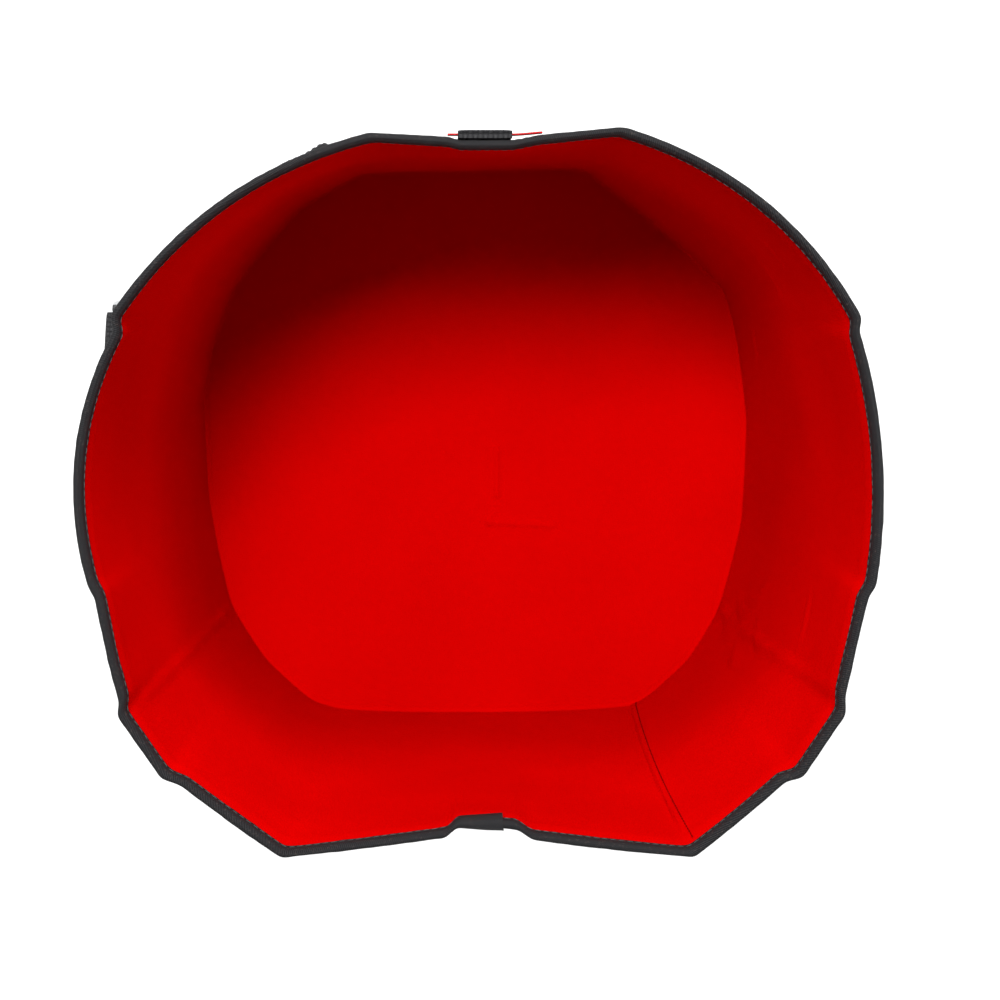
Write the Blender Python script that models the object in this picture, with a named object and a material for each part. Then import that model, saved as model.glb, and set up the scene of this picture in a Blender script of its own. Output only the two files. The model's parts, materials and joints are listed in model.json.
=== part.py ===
"""Tool bucket organizer: a soft-walled tool bucket on a moulded base, with pockets round the outside,
two carry handles that swing and a folded web loop at the back.

Metres, +Z up. The origin is the centre of the base's underside, and -Y is the front.
Lengths below are in millimetres and angles in degrees, measured from +X towards +Y.
"""

import math

import bmesh
import bpy
from mathutils import Matrix, Vector

MM = 0.001

# ---- driving dimensions -------------------------------------------------------------------------

RIM_TOP = 300.0
BINDING_DROP = 14.0  # how far the rim tape reaches down the wall
TAPE = 0.7  # thickness of the rim tape
LAP_STEP = 0.8  # how far the lapped end of the rim tape stands proud

BASE_FLOOR = 5.0  # thickness of the moulded base under the wall
BASE_HEIGHT = 42.0
BASE_WALL = 2.8
BASE_GAP = 0.8  # between the moulded base and the wall inside it

FLOOR_HALF_WIDTH = 138.0  # of the lining floor, on both axes
FLOOR_SQUARE_BACK = 2.3  # superellipse exponent of the floor's outline, towards the back
FLOOR_SQUARE_FRONT = 2.8  # and towards the front

RIM_HALF_X = 170.0  # the rim's own outline without its folds
RIM_HALF_Y = 153.0
RIM_SQUARE = 2.45

GAP = 0.2  # between two layers of the wall
OUTER_CLOTH = 1.0
BOARD = 1.4
LINING = 0.8
FLOOR_BOARD = 3.0
FLOOR_LINING = 1.5
BOARD_TOP = RIM_TOP - 16.0  # the stiffener stops below the rim tape

FOLD_KNEE = 0.6  # at this share of the wall's height
FOLD_LEFT = 0.3  # this share of each rim fold is left, and none at the base

# Folds of the rim's outer edge, anticlockwise from the lapped end of the tape at the front:
# x, y, how far the run to the next fold bulges out, and the number of steps in that run.
RIM_FOLDS = (
    (2.0, -141.2, 0.0, 1),
    (10.0, -141.4, 0.0, 1),
    (16.0, -142.0, 0.0, 1),
    (22.0, -146.5, 0.5, 5),
    (91.0, -154.2, 0.5, 4),
    (130.0, -121.5, 0.0, 1),
    (137.0, -120.0, 0.0, 2),
    (155.0, -93.0, 0.0, 1),
    (154.7, -85.0, 0.0, 1),
    (158.0, -70.0, 0.0, 2),
    (164.0, -43.0, 0.0, 1),
    (167.3, -38.0, 6.3, 8),
    (159.0, 69.6, 0.0, 1),
    (160.0, 75.4, 13.0, 9),
    (59.2, 154.6, 0.0, 2),
    (25.0, 151.2, 0.0, 1),
    (14.5, 149.0, 0.0, 2),
    (-9.5, 149.0, 0.0, 1),
    (-12.6, 150.3, 0.0, 2),
    (-46.0, 152.2, 12.5, 9),
    (-154.6, 76.5, 0.0, 1),
    (-153.2, 70.0, 10.8, 8),
    (-165.5, -37.0, 0.0, 1),
    (-162.5, -42.5, 0.0, 2),
    (-157.1, -70.0, 0.0, 1),
    (-152.5, -87.4, 0.0, 1),
    (-153.7, -92.8, 0.0, 2),
    (-135.2, -119.7, 0.0, 1),
    (-127.3, -122.6, 0.3, 4),
    (-84.8, -154.0, 0.3, 5),
    (-14.0, -145.3, 0.0, 1),
    (-10.5, -140.8, 0.0, 1),
)
LAP_FOLDS = 2  # the first folds of that list are the lapped end

POCKET_CLOTH = 1.4
POCKET_GAP = 0.5
POCKET_FOOT = BASE_HEIGHT + 5.0
POCKET_HEM = 2.4  # height of the tape on a pocket's mouth
FLANGE = 4.0  # width sewn flat to the wall at each side of a pocket
GUSSET = 5.0  # width of the folded side of a pocket

# Pockets on one side: name, first and last angle from the front, mouth height and depth.
# The angles count from -Y, and are mirrored for the other side.
POCKETS = (
    ("front_pocket", 9.5, 29.0, 188.0, 19.0),
    ("corner_pocket", 31.5, 46.5, 168.0, 18.0),
    ("driver_sleeve", 49.0, 58.5, 212.0, 17.0),
    ("plier_pocket", 61.0, 74.5, 160.0, 17.0),
    ("side_pocket", 78.0, 111.0, 110.0, 20.0),
    ("rear_pocket", 116.0, 136.0, 115.0, 14.0),
    ("back_pocket", 138.5, 157.0, 90.0, 12.5),
)

WEB_WIDTH = 25.0
WEB = 1.5

FRONT_WEB_X = 3.0
FRONT_WEB_FOOT = 62.0
FRONT_WEB_LOOPS = 4
FRONT_WEB_PITCH = 54.0
FRONT_WEB_ARCH = 7.5

HANDLE_AXIS_Z = 218.0
HANDLE_STANDOFF = 10.0  # from the wall at the two web tabs to the axis
HANDLE_SIDES = {"left": (193.6, 158.0), "right": (-12.0, 24.0)}  # angles of the two tabs
HANDLE_DROP = 90.0  # from the axis to the middle of the grip
HANDLE_REACH = 4.0  # how far the grip hangs out from the axis
RING_WIRE = 2.0  # radius
RING_HALF_WIDTH = 15.5
RING_CORNER = 2.6
RING_HEIGHT = 20.0
TAB_LENGTH = 52.0
GRIP_HALF_LENGTH = 31.0

BACK_X = 2.1
BACK_WEB_WIDTH = 22.7
BACK_WEB = 1.2
BACK_LOOP_TOP = RIM_TOP - 1.0
BACK_LOOP_LENGTH = 62.0
BACK_STRAP = 1.0
BACK_STRAP_TOP = RIM_TOP - 3.0
BACK_STRAP_HEIGHT = 18.0
# Middle of the red strap, seen from above: it bridges the recess and is sewn at both ends.
BACK_STRAP_ROUTE = ((-13.5, 151.2), (2.0, 151.2), (14.5, 151.2), (26.0, 152.1))

ROUND_STEPS = 48  # round the floor and the moulded base


# ---- materials ----------------------------------------------------------------------------------


def material(name, colour, roughness, metallic=0.0):
    made = bpy.data.materials.new(name)
    made.use_nodes = True
    shader = made.node_tree.nodes["Principled BSDF"]
    shader.inputs["Base Color"].default_value = (*colour, 1.0)
    shader.inputs["Roughness"].default_value = roughness
    shader.inputs["Metallic"].default_value = metallic
    return made


def make_materials():
    return {
        "lining": material("lining_red", (0.68, 0.005, 0.005), 0.75),
        "cloth": material("outer_black_cloth", (0.022, 0.022, 0.024), 0.8),
        "tape": material("binding_grey", (0.035, 0.035, 0.038), 0.7),
        "web": material("web_black", (0.02, 0.02, 0.021), 0.75),
        "red_web": material("web_red", (0.5, 0.008, 0.008), 0.7),
        "board": material("board_white", (0.75, 0.75, 0.73), 0.5),
        "rubber": material("base_rubber", (0.03, 0.03, 0.032), 0.6),
        "grip": material("grip_rubber", (0.028, 0.028, 0.03), 0.55),
        "steel": material("wire_steel", (0.55, 0.56, 0.57), 0.3, 1.0),
    }


# ---- the wall's shape ---------------------------------------------------------------------------


def superellipse(angle, half_x, half_y, power):
    """Radius of a superellipse at an angle in radians."""
    across = abs(math.cos(angle)) / half_x
    along = abs(math.sin(angle)) / half_y
    return (across**power + along**power) ** (-1.0 / power)


def floor_radius(angle):
    forward = (1.0 - math.sin(angle)) / 2.0
    power = FLOOR_SQUARE_BACK + (FLOOR_SQUARE_FRONT - FLOOR_SQUARE_BACK) * forward
    return superellipse(angle, FLOOR_HALF_WIDTH, FLOOR_HALF_WIDTH, power)


def rim_points():
    """Angle and radius of each point of the rim's outer edge, by rising angle."""
    found = []
    for i, (x, y, bulge, steps) in enumerate(RIM_FOLDS):
        here = Vector((x, y))
        run = Vector(RIM_FOLDS[(i + 1) % len(RIM_FOLDS)][:2]) - here
        outward = Vector((run.y, -run.x)).normalized()
        for k in range(steps):
            t = k / steps
            point = here + run * t + outward * (4.0 * bulge * t * (1.0 - t))
            found.append((math.atan2(point.y, point.x) % math.tau, point.length))
    return sorted(found)


RIM = rim_points()
ANGLES = [angle for angle, _ in RIM]
WALL_FOOT = BASE_FLOOR + 0.4
KNEE_Z = WALL_FOOT + FOLD_KNEE * (RIM_TOP - WALL_FOOT)
LAYERS = OUTER_CLOTH + GAP + BOARD + GAP + LINING  # wall thickness below the rim tape


def rim_radius(angle):
    """Radius of the rim's outer edge at any angle, straight between its points."""
    angle %= math.tau
    after = next((i for i, (a, _) in enumerate(RIM) if a > angle), 0)
    (a0, r0), (a1, r1) = RIM[after - 1], RIM[after]
    span = (a1 - a0) % math.tau
    turned = (angle - a0) % math.tau
    return r0 * r1 * math.sin(span) / (r0 * math.sin(turned) + r1 * math.sin(span - turned))


def wall_radius(angle, z):
    """Radius of the outer cloth's outer face: the rim's folds fade towards the base."""
    t = min(max((z - WALL_FOOT) / (RIM_TOP - WALL_FOOT), 0.0), 1.0)
    if t < FOLD_KNEE:
        fold = FOLD_LEFT * t / FOLD_KNEE
    else:
        fold = FOLD_LEFT + (1.0 - FOLD_LEFT) * (t - FOLD_KNEE) / (1.0 - FOLD_KNEE)
    foot = floor_radius(angle) + LAYERS
    edge = rim_radius(angle) - TAPE - GAP
    plain = superellipse(angle, RIM_HALF_X, RIM_HALF_Y, RIM_SQUARE) - TAPE - GAP
    return foot + (plain - foot) * t + (edge - plain) * fold


def on_wall(angle, z, away):
    """The point this far off the outer cloth, in metres."""
    radius = wall_radius(angle, z) + away
    return Vector((radius * math.cos(angle), radius * math.sin(angle), z)) * MM


# ---- mesh helpers -------------------------------------------------------------------------------


def add_object(name, mesh, finish, parent=None):
    mesh.materials.append(finish)
    made = bpy.data.objects.new(name, mesh)
    bpy.context.scene.collection.objects.link(made)
    made.parent = parent
    return made


def finish_mesh(name, build):
    """A mesh from a bmesh, with its faces pointing out."""
    bmesh.ops.recalc_face_normals(build, faces=build.faces)
    if build.calc_volume(signed=True) < 0.0:
        bmesh.ops.reverse_faces(build, faces=build.faces)
    mesh = bpy.data.meshes.new(name)
    build.to_mesh(mesh)
    build.free()
    return mesh


def tube(name, rings, closed):
    """A mesh skinned over rings of points: closed joins the last ring to the first.

    Each side is split from its low corner on one ring to its high corner on the next, so that the
    layers of the wall, which share their angles and heights, stay parallel.
    """
    build = bmesh.new()
    loops = [[build.verts.new(point) for point in ring] for ring in rings]
    pairs = list(zip(loops, loops[1:]))
    if closed:
        pairs.append((loops[-1], loops[0]))
    for one, two in pairs:
        for k in range(len(one)):
            n = (k + 1) % len(one)
            if one[n].co.z >= one[k].co.z:
                build.faces.new((one[k], one[n], two[n]))
                build.faces.new((one[k], two[n], two[k]))
            else:
                build.faces.new((one[k], one[n], two[k]))
                build.faces.new((one[n], two[n], two[k]))
    if not closed:
        build.faces.new(loops[0])
        build.faces.new(loops[-1])
    return finish_mesh(name, build)


def round_wall(name, section, lap=0.0):
    """A ring that follows the wall: section lists (away from the outer cloth, z) round its cut."""
    lap_angles = [math.atan2(y, x) % math.tau for x, y, _, _ in RIM_FOLDS[:LAP_FOLDS]]
    rings = []
    for angle in ANGLES:
        lapped = lap if min(lap_angles) - 1e-6 <= angle <= max(lap_angles) + 1e-6 else 0.0
        rings.append([on_wall(angle, z, away + (lapped if away > 0 else 0.0)) for away, z in section])
    return tube(name, rings, closed=True)


def dish(name, profile):
    """A closed body skinned over level outlines: profile lists (scale, away, z) from end to end."""
    rings = []
    for scale, away, z in profile:
        ring = []
        for k in range(ROUND_STEPS):
            angle = math.tau * k / ROUND_STEPS
            radius = (wall_radius(angle, max(z, WALL_FOOT)) + away) * scale
            ring.append(Vector((radius * math.cos(angle), radius * math.sin(angle), z)) * MM)
        rings.append(ring)
    return tube(name, rings, closed=False)


def band(name, path, width, thickness, closed, middle=0.0):
    """A flat web along a path of (y, z) points, its width along x, in metres."""
    points = [Vector(point) for point in path]
    rings = []
    for i, point in enumerate(points):
        before = points[i - 1] if closed or i else point
        after = points[(i + 1) % len(points)] if closed or i < len(points) - 1 else point
        along = (after - before).normalized()
        side = Vector((along.y, -along.x)) * (thickness / 2.0)
        corners = ((-width, side), (width, side), (width, -side), (-width, -side))
        rings.append(
            [
                Vector((middle + w / 2.0, (point + s).x, (point + s).y)) * MM
                for w, s in corners
            ]
        )
    return tube(name, rings, closed=closed)


def wire_ring(name, outline, radius, finish, parent=None):
    """A bent wire ring through (x, y, z) points in millimetres."""
    curve = bpy.data.curves.new(name, "CURVE")
    curve.dimensions = "3D"
    curve.bevel_depth = radius * MM
    curve.bevel_resolution = 2
    spline = curve.splines.new("POLY")
    spline.points.add(len(outline) - 1)
    for point, place in zip(spline.points, outline):
        point.co = (*(Vector(place) * MM), 1.0)
    spline.use_cyclic_u = True
    curve.materials.append(finish)
    made = bpy.data.objects.new(name, curve)
    bpy.context.scene.collection.objects.link(made)
    made.parent = parent
    return made


# ---- base, wall and rim -------------------------------------------------------------------------


def make_base(finishes):
    out = BASE_GAP + BASE_WALL
    profile = (
        (0.40, 0.0, 0.0),
        (0.42, 0.0, 2.5),
        (0.84, 0.0, 2.5),
        (0.86, 0.0, 0.0),
        (1.0, -1.0, 0.0),
        (1.0, out - 0.6, 4.0),
        (1.0, out, BASE_HEIGHT - 1.0),
        (1.0, out - 0.8, BASE_HEIGHT),
        (1.0, BASE_GAP, BASE_HEIGHT),
        (1.0, BASE_GAP, BASE_FLOOR),
    )
    add_object("base_tub", dish("base_tub", profile), finishes["rubber"])
    inside = -LAYERS - 1.2
    floor = BASE_FLOOR + 0.3
    board = ((1.0, inside, floor), (1.0, inside, floor + FLOOR_BOARD))
    add_object("floor_board", dish("floor_board", board), finishes["board"])
    floor += FLOOR_BOARD + 0.3
    lining = ((1.0, inside, floor), (1.0, inside, floor + FLOOR_LINING))
    add_object("lining_floor", dish("lining_floor", lining), finishes["lining"])


def make_wall(finishes):
    top = RIM_TOP - TAPE - 0.7
    outer = ((0.0, WALL_FOOT), (0.0, KNEE_Z), (0.0, BOARD_TOP), (0.0, top))
    inner = tuple((away - OUTER_CLOTH, z) for away, z in reversed(outer))
    add_object("outer_wall", round_wall("outer_wall", outer + inner), finishes["cloth"])

    out = -OUTER_CLOTH - GAP
    outer = ((out, WALL_FOOT), (out, KNEE_Z), (out, BOARD_TOP))
    inner = tuple((away - BOARD, z) for away, z in reversed(outer))
    add_object("wall_board", round_wall("wall_board", outer + inner), finishes["board"])

    deep = out - BOARD - GAP
    outer = ((deep, WALL_FOOT), (deep, KNEE_Z), (deep, BOARD_TOP), (out, top))
    inner = tuple((away - LINING, z) for away, z in reversed(outer))
    add_object("lining_wall", round_wall("lining_wall", outer + inner), finishes["lining"])


def make_binding(finishes):
    foot = RIM_TOP - BINDING_DROP
    out = GAP + TAPE
    shoulder = RIM_TOP - TAPE
    inside = -OUTER_CLOTH - GAP - LINING - GAP
    slope = 1.6  # the tape's inner leg follows the lining over the stiffener's top
    section = (
        (GAP, foot),
        (out, foot),
        (out, RIM_TOP - 0.4),
        (out - 0.5, RIM_TOP),
        (inside - TAPE + 0.5, RIM_TOP),
        (inside - TAPE, RIM_TOP - 0.4),
        (inside - TAPE - slope, foot + 2.0),
        (inside - slope, foot + 2.0),
        (inside, shoulder),
        (GAP, shoulder),
    )
    add_object("rim_binding", round_wall("rim_binding", section, LAP_STEP), finishes["tape"])


# ---- pockets ------------------------------------------------------------------------------------


def pocket_columns(first, last, radius):
    """Angles across a pocket, with how full it stands at each: 0 on the wall, 1 at its depth."""
    width = (last - first) * radius
    flange, gusset = FLANGE / radius, GUSSET / radius
    inner = 2.0 * (FLANGE + GUSSET)
    steps = max(2, math.ceil((width - inner) / 15.0))
    start, stop = first + flange + gusset, last - flange - gusset
    middle = [(start + (stop - start) * k / steps, 1.0) for k in range(steps + 1)]
    return [(first, 0.0), (first + flange, 0.0)] + middle + [(last - flange, 0.0), (last, 0.0)]


def pocket_rows(mouth):
    return ((POCKET_FOOT, 0.0), (POCKET_FOOT + 5.0, 0.75), (KNEE_Z - 30.0, 0.95), (mouth, 1.0))


def make_pocket(name, first, last, mouth, depth, finishes):
    columns = pocket_columns(first, last, wall_radius((first + last) / 2.0, mouth))
    rows = [row for row in pocket_rows(mouth) if row[0] <= mouth]
    build = bmesh.new()
    faces = []
    for extra in (POCKET_GAP, POCKET_GAP + POCKET_CLOTH):
        grid = []
        for z, share in rows:
            line = [build.verts.new(on_wall(a, z, extra + depth * share * full)) for a, full in columns]
            grid.append(line)
        faces.append(grid)
    inner, outer = faces
    last_row, last_column = len(rows) - 1, len(columns) - 1
    for i in range(last_row):
        for k in range(last_column):
            for grid in faces:
                build.faces.new((grid[i][k], grid[i][k + 1], grid[i + 1][k + 1], grid[i + 1][k]))
    for k in range(last_column):
        for i in (0, last_row):
            build.faces.new((inner[i][k], inner[i][k + 1], outer[i][k + 1], outer[i][k]))
    for i in range(last_row):
        for k in (0, last_column):
            build.faces.new((inner[i][k], inner[i + 1][k], outer[i + 1][k], outer[i][k]))
    add_object(name, finish_mesh(name, build), finishes["cloth"])

    foot = mouth + 0.3
    low, high = POCKET_GAP - 0.2, POCKET_GAP + POCKET_CLOTH + 0.6
    rings = []
    for angle, full in columns:
        away = depth * full
        section = ((low, foot), (high, foot), (high, foot + POCKET_HEM), (low, foot + POCKET_HEM))
        rings.append([on_wall(angle, z, away + off) for off, z in section])
    hem = name + "_binding"
    add_object(hem, tube(hem, rings, closed=False), finishes["tape"])


def make_pockets(finishes):
    for kind, first, last, mouth, depth in POCKETS:
        spans = {"right": (first - 90.0, last - 90.0), "left": (270.0 - last, 270.0 - first)}
        for side, (start, stop) in spans.items():
            name = f"{kind}_{side}"
            make_pocket(name, math.radians(start), math.radians(stop), mouth, depth, finishes)


# ---- front web ----------------------------------------------------------------------------------


def front_web_path():
    """(y, z) points of a web that arches off the wall between its sewn bars."""
    path = []
    arch_steps = 6
    front = math.radians(270.0)
    for loop in range(FRONT_WEB_LOOPS):
        foot = FRONT_WEB_FOOT + loop * FRONT_WEB_PITCH
        path.append((0.0, foot))
        for k in range(arch_steps + 1):
            t = k / arch_steps
            lift = FRONT_WEB_ARCH * math.sin(math.pi * t) ** 0.7
            path.append((lift, foot + 6.0 + t * (FRONT_WEB_PITCH - 8.0)))
    path.append((0.0, FRONT_WEB_FOOT + FRONT_WEB_LOOPS * FRONT_WEB_PITCH + 4.0))
    stand = 1.1 + WEB / 2.0
    return [(-wall_radius(front, z) - stand - lift, z) for lift, z in path]


def make_front_web(finishes):
    mesh = band("front_web", front_web_path(), WEB_WIDTH, WEB, closed=False, middle=FRONT_WEB_X)
    add_object("front_web", mesh, finishes["web"])


# ---- carry handles ------------------------------------------------------------------------------


def handle_frame(tab_angles):
    """The handle's axis: local x along it, y outward and z up, and half the distance of its tabs."""
    ends = [on_wall(math.radians(a), HANDLE_AXIS_Z, 0.0) for a in tab_angles]
    middle = (ends[0] + ends[1]) / 2.0
    along = (ends[1] - ends[0]).normalized()
    outward = Vector((along.y, -along.x, 0.0))
    if outward.dot(middle) < 0.0:
        outward = -outward
    along = outward.cross(Vector((0.0, 0.0, 1.0)))
    origin = middle + outward * HANDLE_STANDOFF * MM
    turn = Matrix((along, outward, (0.0, 0.0, 1.0))).transposed().to_4x4()
    return Matrix.Translation(origin) @ turn, (ends[1] - ends[0]).length / 2.0 / MM


def rounded_rectangle(half_width, low, high, corner, steps):
    """(x, z) points round a rectangle with arcs at its corners."""
    centres = (
        (half_width - corner, high - corner, 0.0),
        (-half_width + corner, high - corner, 90.0),
        (-half_width + corner, low + corner, 180.0),
        (half_width - corner, low + corner, 270.0),
    )
    found = []
    for x, z, start in centres:
        for k in range(steps + 1):
            angle = math.radians(start + 90.0 * k / steps)
            found.append((x + corner * math.cos(angle), z + corner * math.sin(angle)))
    return found


def wall_behind(frame, x, z):
    """Local y of the outer cloth behind a point of the handle's frame."""
    low, high = -40.0, 20.0
    for _ in range(24):
        y = (low + high) / 2.0
        point = frame @ (Vector((x, y, z)) * MM) / MM
        if point.xy.length > wall_radius(math.atan2(point.y, point.x), point.z):
            high = y
        else:
            low = y
    return (low + high) / 2.0


def tab_path(frame, x):
    """(y, z) points of a web that goes up the wall, round the ring's bar and down again."""
    bend = RING_WIRE + 0.6 + WEB / 2.0
    layer = WEB + 0.4
    across = [x + WEB_WIDTH * k / 8.0 for k in range(-4, 5)]
    path = []
    for k in range(8):
        angle = math.radians(200.0 - 30.0 * k)
        path.append((bend * math.cos(angle), bend * math.sin(angle)))
    tail = []
    for depth in (12.0, TAB_LENGTH / 2.0, TAB_LENGTH):
        near = max(wall_behind(frame, place, -depth) for place in across)
        tail.append((near + 0.4 + WEB / 2.0, -depth))
    path += [(y + layer, z) for y, z in tail]
    return path + tail[::-1]


def strap_stations(half_span):
    """Centre, half width and half thickness of the handle strap, from one ring to the other."""
    start = -RING_HEIGHT - 9.0
    bend_x = half_span - GRIP_HALF_LENGTH - 5.0
    bend_z = HANDLE_DROP - RING_HEIGHT - 9.0
    stations = [
        (-half_span, 0.0, -RING_HEIGHT + 4.2, 12.2, 2.8),
        (-half_span, 0.0, -RING_HEIGHT + 2.4, 12.3, 3.8),
        (-half_span, 0.0, -RING_HEIGHT - 2.4, 12.3, 3.8),
        (-half_span, 0.6, start, 12.3, 2.2),
    ]
    bend_steps = 6
    for k in range(1, bend_steps + 1):
        share = k / bend_steps
        angle = math.radians(90.0 * share)
        x = -half_span + bend_x * (1.0 - math.cos(angle))
        y = 0.6 + (HANDLE_REACH - 0.6) * math.sin(angle)
        z = start - bend_z * math.sin(angle)
        stations.append((x, y, z, 12.3 - 5.3 * share, 2.2 + 2.8 * share))
    for x in (-GRIP_HALF_LENGTH, -0.6 * GRIP_HALF_LENGTH, 0.0):
        stations.append((x, HANDLE_REACH, -HANDLE_DROP, 7.0, 5.0))
    mirrored = [(-x, y, z, w, t) for x, y, z, w, t in reversed(stations[:-1])]
    return stations + mirrored


def section_ring(centre, along, half_width, half_thickness, points=8):
    """An oval cut across a strap whose flat side faces y."""
    out = Vector((0.0, 1.0, 0.0))
    side = along.cross(out).normalized()
    out = side.cross(along).normalized()
    ring = []
    for k in range(points):
        angle = math.tau * (k + 0.5) / points
        wide, thick = math.cos(angle), math.sin(angle)
        squared = (wide**4 + thick**4) ** -0.25
        offset = side * (wide * squared * half_width) + out * (thick * squared * half_thickness)
        ring.append((centre + offset) * MM)
    return ring


def strap_rings(stations, grow_width=0.0, grow_thickness=0.0):
    centres = [Vector(station[:3]) for station in stations]
    rings = []
    for i, (_, _, _, wide, thick) in enumerate(stations):
        along = (centres[min(i + 1, len(centres) - 1)] - centres[max(i - 1, 0)]).normalized()
        rings.append(section_ring(centres[i], along, wide + grow_width, thick + grow_thickness))
    return rings


def cut_round_hole(target, centre, radius, length, parent):
    """Cuts a round hole along x through a piece."""
    build = bmesh.new()
    turn = Matrix.Rotation(math.radians(90.0), 4, "Y")
    place = Matrix.Translation(Vector(centre) * MM) @ turn
    bmesh.ops.create_cone(
        build,
        cap_ends=True,
        segments=12,
        radius1=radius * MM,
        radius2=radius * MM,
        depth=length * MM,
        matrix=place,
    )
    mesh = finish_mesh(target.name + "_cutter", build)
    cutter = bpy.data.objects.new(mesh.name, mesh)
    bpy.context.scene.collection.objects.link(cutter)
    cutter.parent = parent
    cutter.hide_render = True
    cutter.display_type = "WIRE"
    cut = target.modifiers.new("hole", "BOOLEAN")
    cut.operation = "DIFFERENCE"
    cut.object = cutter


def make_grip(name, stations, finish, pivot):
    """A padded sleeve round the middle of the strap, open at both ends."""
    middle = [station for station in stations if abs(station[0]) <= GRIP_HALF_LENGTH]
    swell = (0.0, 1.6, 2.2, 1.6, 0.0)
    fatter = [(x, y, z, w + s, t + s) for (x, y, z, w, t), s in zip(middle, swell)]
    inner = strap_rings(middle, 0.6, 0.6)
    outer = strap_rings(fatter, 4.2, 5.6)
    add_object(name, tube(name, outer + inner[::-1], closed=True), finish, pivot)


def make_handle(side, tab_angles, finishes):
    frame, half_span = handle_frame(tab_angles)
    pivot = bpy.data.objects.new(f"handle_{side}_axis", None)
    bpy.context.scene.collection.objects.link(pivot)
    pivot.matrix_world = frame

    stations = strap_stations(half_span)
    strap_name = f"handle_strap_{side}"
    strap_mesh = tube(strap_name, strap_rings(stations), closed=False)
    strap = add_object(strap_name, strap_mesh, finishes["web"], pivot)
    make_grip(f"handle_grip_{side}", stations, finishes["grip"], pivot)

    front, back = (-half_span, half_span) if side == "left" else (half_span, -half_span)
    outline = rounded_rectangle(RING_HALF_WIDTH, -RING_HEIGHT, 0.0, RING_CORNER, 2)
    for end, x in (("front", front), ("back", back)):
        places = [(x + px, 0.0, pz) for px, pz in outline]
        wire_ring(f"handle_ring_{side}_{end}", places, RING_WIRE, finishes["steel"], pivot)
        cut_round_hole(strap, (x, 0.0, -RING_HEIGHT), RING_WIRE + 0.5, 2.0 * WEB_WIDTH, pivot)
        tab_name = f"handle_tab_{side}_{end}"
        mesh = band(tab_name, tab_path(frame, x), WEB_WIDTH, WEB, closed=True, middle=x)
        add_object(tab_name, mesh, finishes["web"]).matrix_world = frame


# ---- back strap and loop ------------------------------------------------------------------------


def make_back_strap(finishes):
    """A red strap, sewn at its ends, that bridges the recess in the rim."""
    foot = BACK_STRAP_TOP - BACK_STRAP_HEIGHT
    half = BACK_STRAP / 2.0
    rings = []
    for x, y in BACK_STRAP_ROUTE:
        corners = (
            (y - half, foot),
            (y + half, foot),
            (y + half, BACK_STRAP_TOP),
            (y - half, BACK_STRAP_TOP),
        )
        rings.append([Vector((x, away, z)) * MM for away, z in corners])
    add_object("back_strap", tube("back_strap", rings, closed=False), finishes["red_web"])


def make_back_loop(finishes):
    """A black web folded over the red strap, its two ends sewn together down the wall."""
    middle = BACK_STRAP_ROUTE[1][1]
    half = (BACK_STRAP + BACK_WEB) / 2.0 + 0.2
    shut = (BACK_WEB + 0.3) / 2.0
    below = BACK_STRAP_TOP - BACK_STRAP_HEIGHT - 6.0
    foot = BACK_LOOP_TOP - BACK_LOOP_LENGTH
    drift = 1.6  # the wall leans in by this much behind the sewn tail
    path = [
        (middle - half, below + 4.0),
        (middle - half, BACK_LOOP_TOP - 1.4),
        (middle - half + 0.8, BACK_LOOP_TOP - BACK_WEB / 2.0),
        (middle + half - 0.8, BACK_LOOP_TOP - BACK_WEB / 2.0),
        (middle + half, BACK_LOOP_TOP - 1.4),
        (middle + half, below + 4.0),
        (middle - 0.4 + shut, below),
        (middle - drift + shut, foot),
        (middle - drift - shut, foot),
        (middle - 0.4 - shut, below),
    ]
    mesh = band("back_loop", path, BACK_WEB_WIDTH, BACK_WEB, closed=True, middle=BACK_X)
    add_object("back_loop", mesh, finishes["web"])


# ---- assembly -----------------------------------------------------------------------------------


def smooth_round_pieces():
    for made in bpy.data.objects:
        if made.type == "MESH" and ("grip" in made.name or "strap" in made.name):
            made.data.shade_smooth()
            made.data.set_sharp_from_angle(angle=math.radians(40.0))


def main():
    for old in list(bpy.data.objects):
        bpy.data.objects.remove(old, do_unlink=True)
    finishes = make_materials()
    make_base(finishes)
    make_wall(finishes)
    make_binding(finishes)
    make_pockets(finishes)
    make_front_web(finishes)
    for side, tab_angles in HANDLE_SIDES.items():
        make_handle(side, tab_angles, finishes)
    make_back_strap(finishes)
    make_back_loop(finishes)
    smooth_round_pieces()


main()
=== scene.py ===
"""Looks of the tool bucket organizer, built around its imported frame.

Lengths are in millimetres and turn into metres where a mesh is made. Angles are measured from +X
towards +Y, the floor is at z 0, and -Y is the front.
"""

import json
import math

import bpy
import numpy as np
from mathutils import Matrix, Vector


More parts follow.
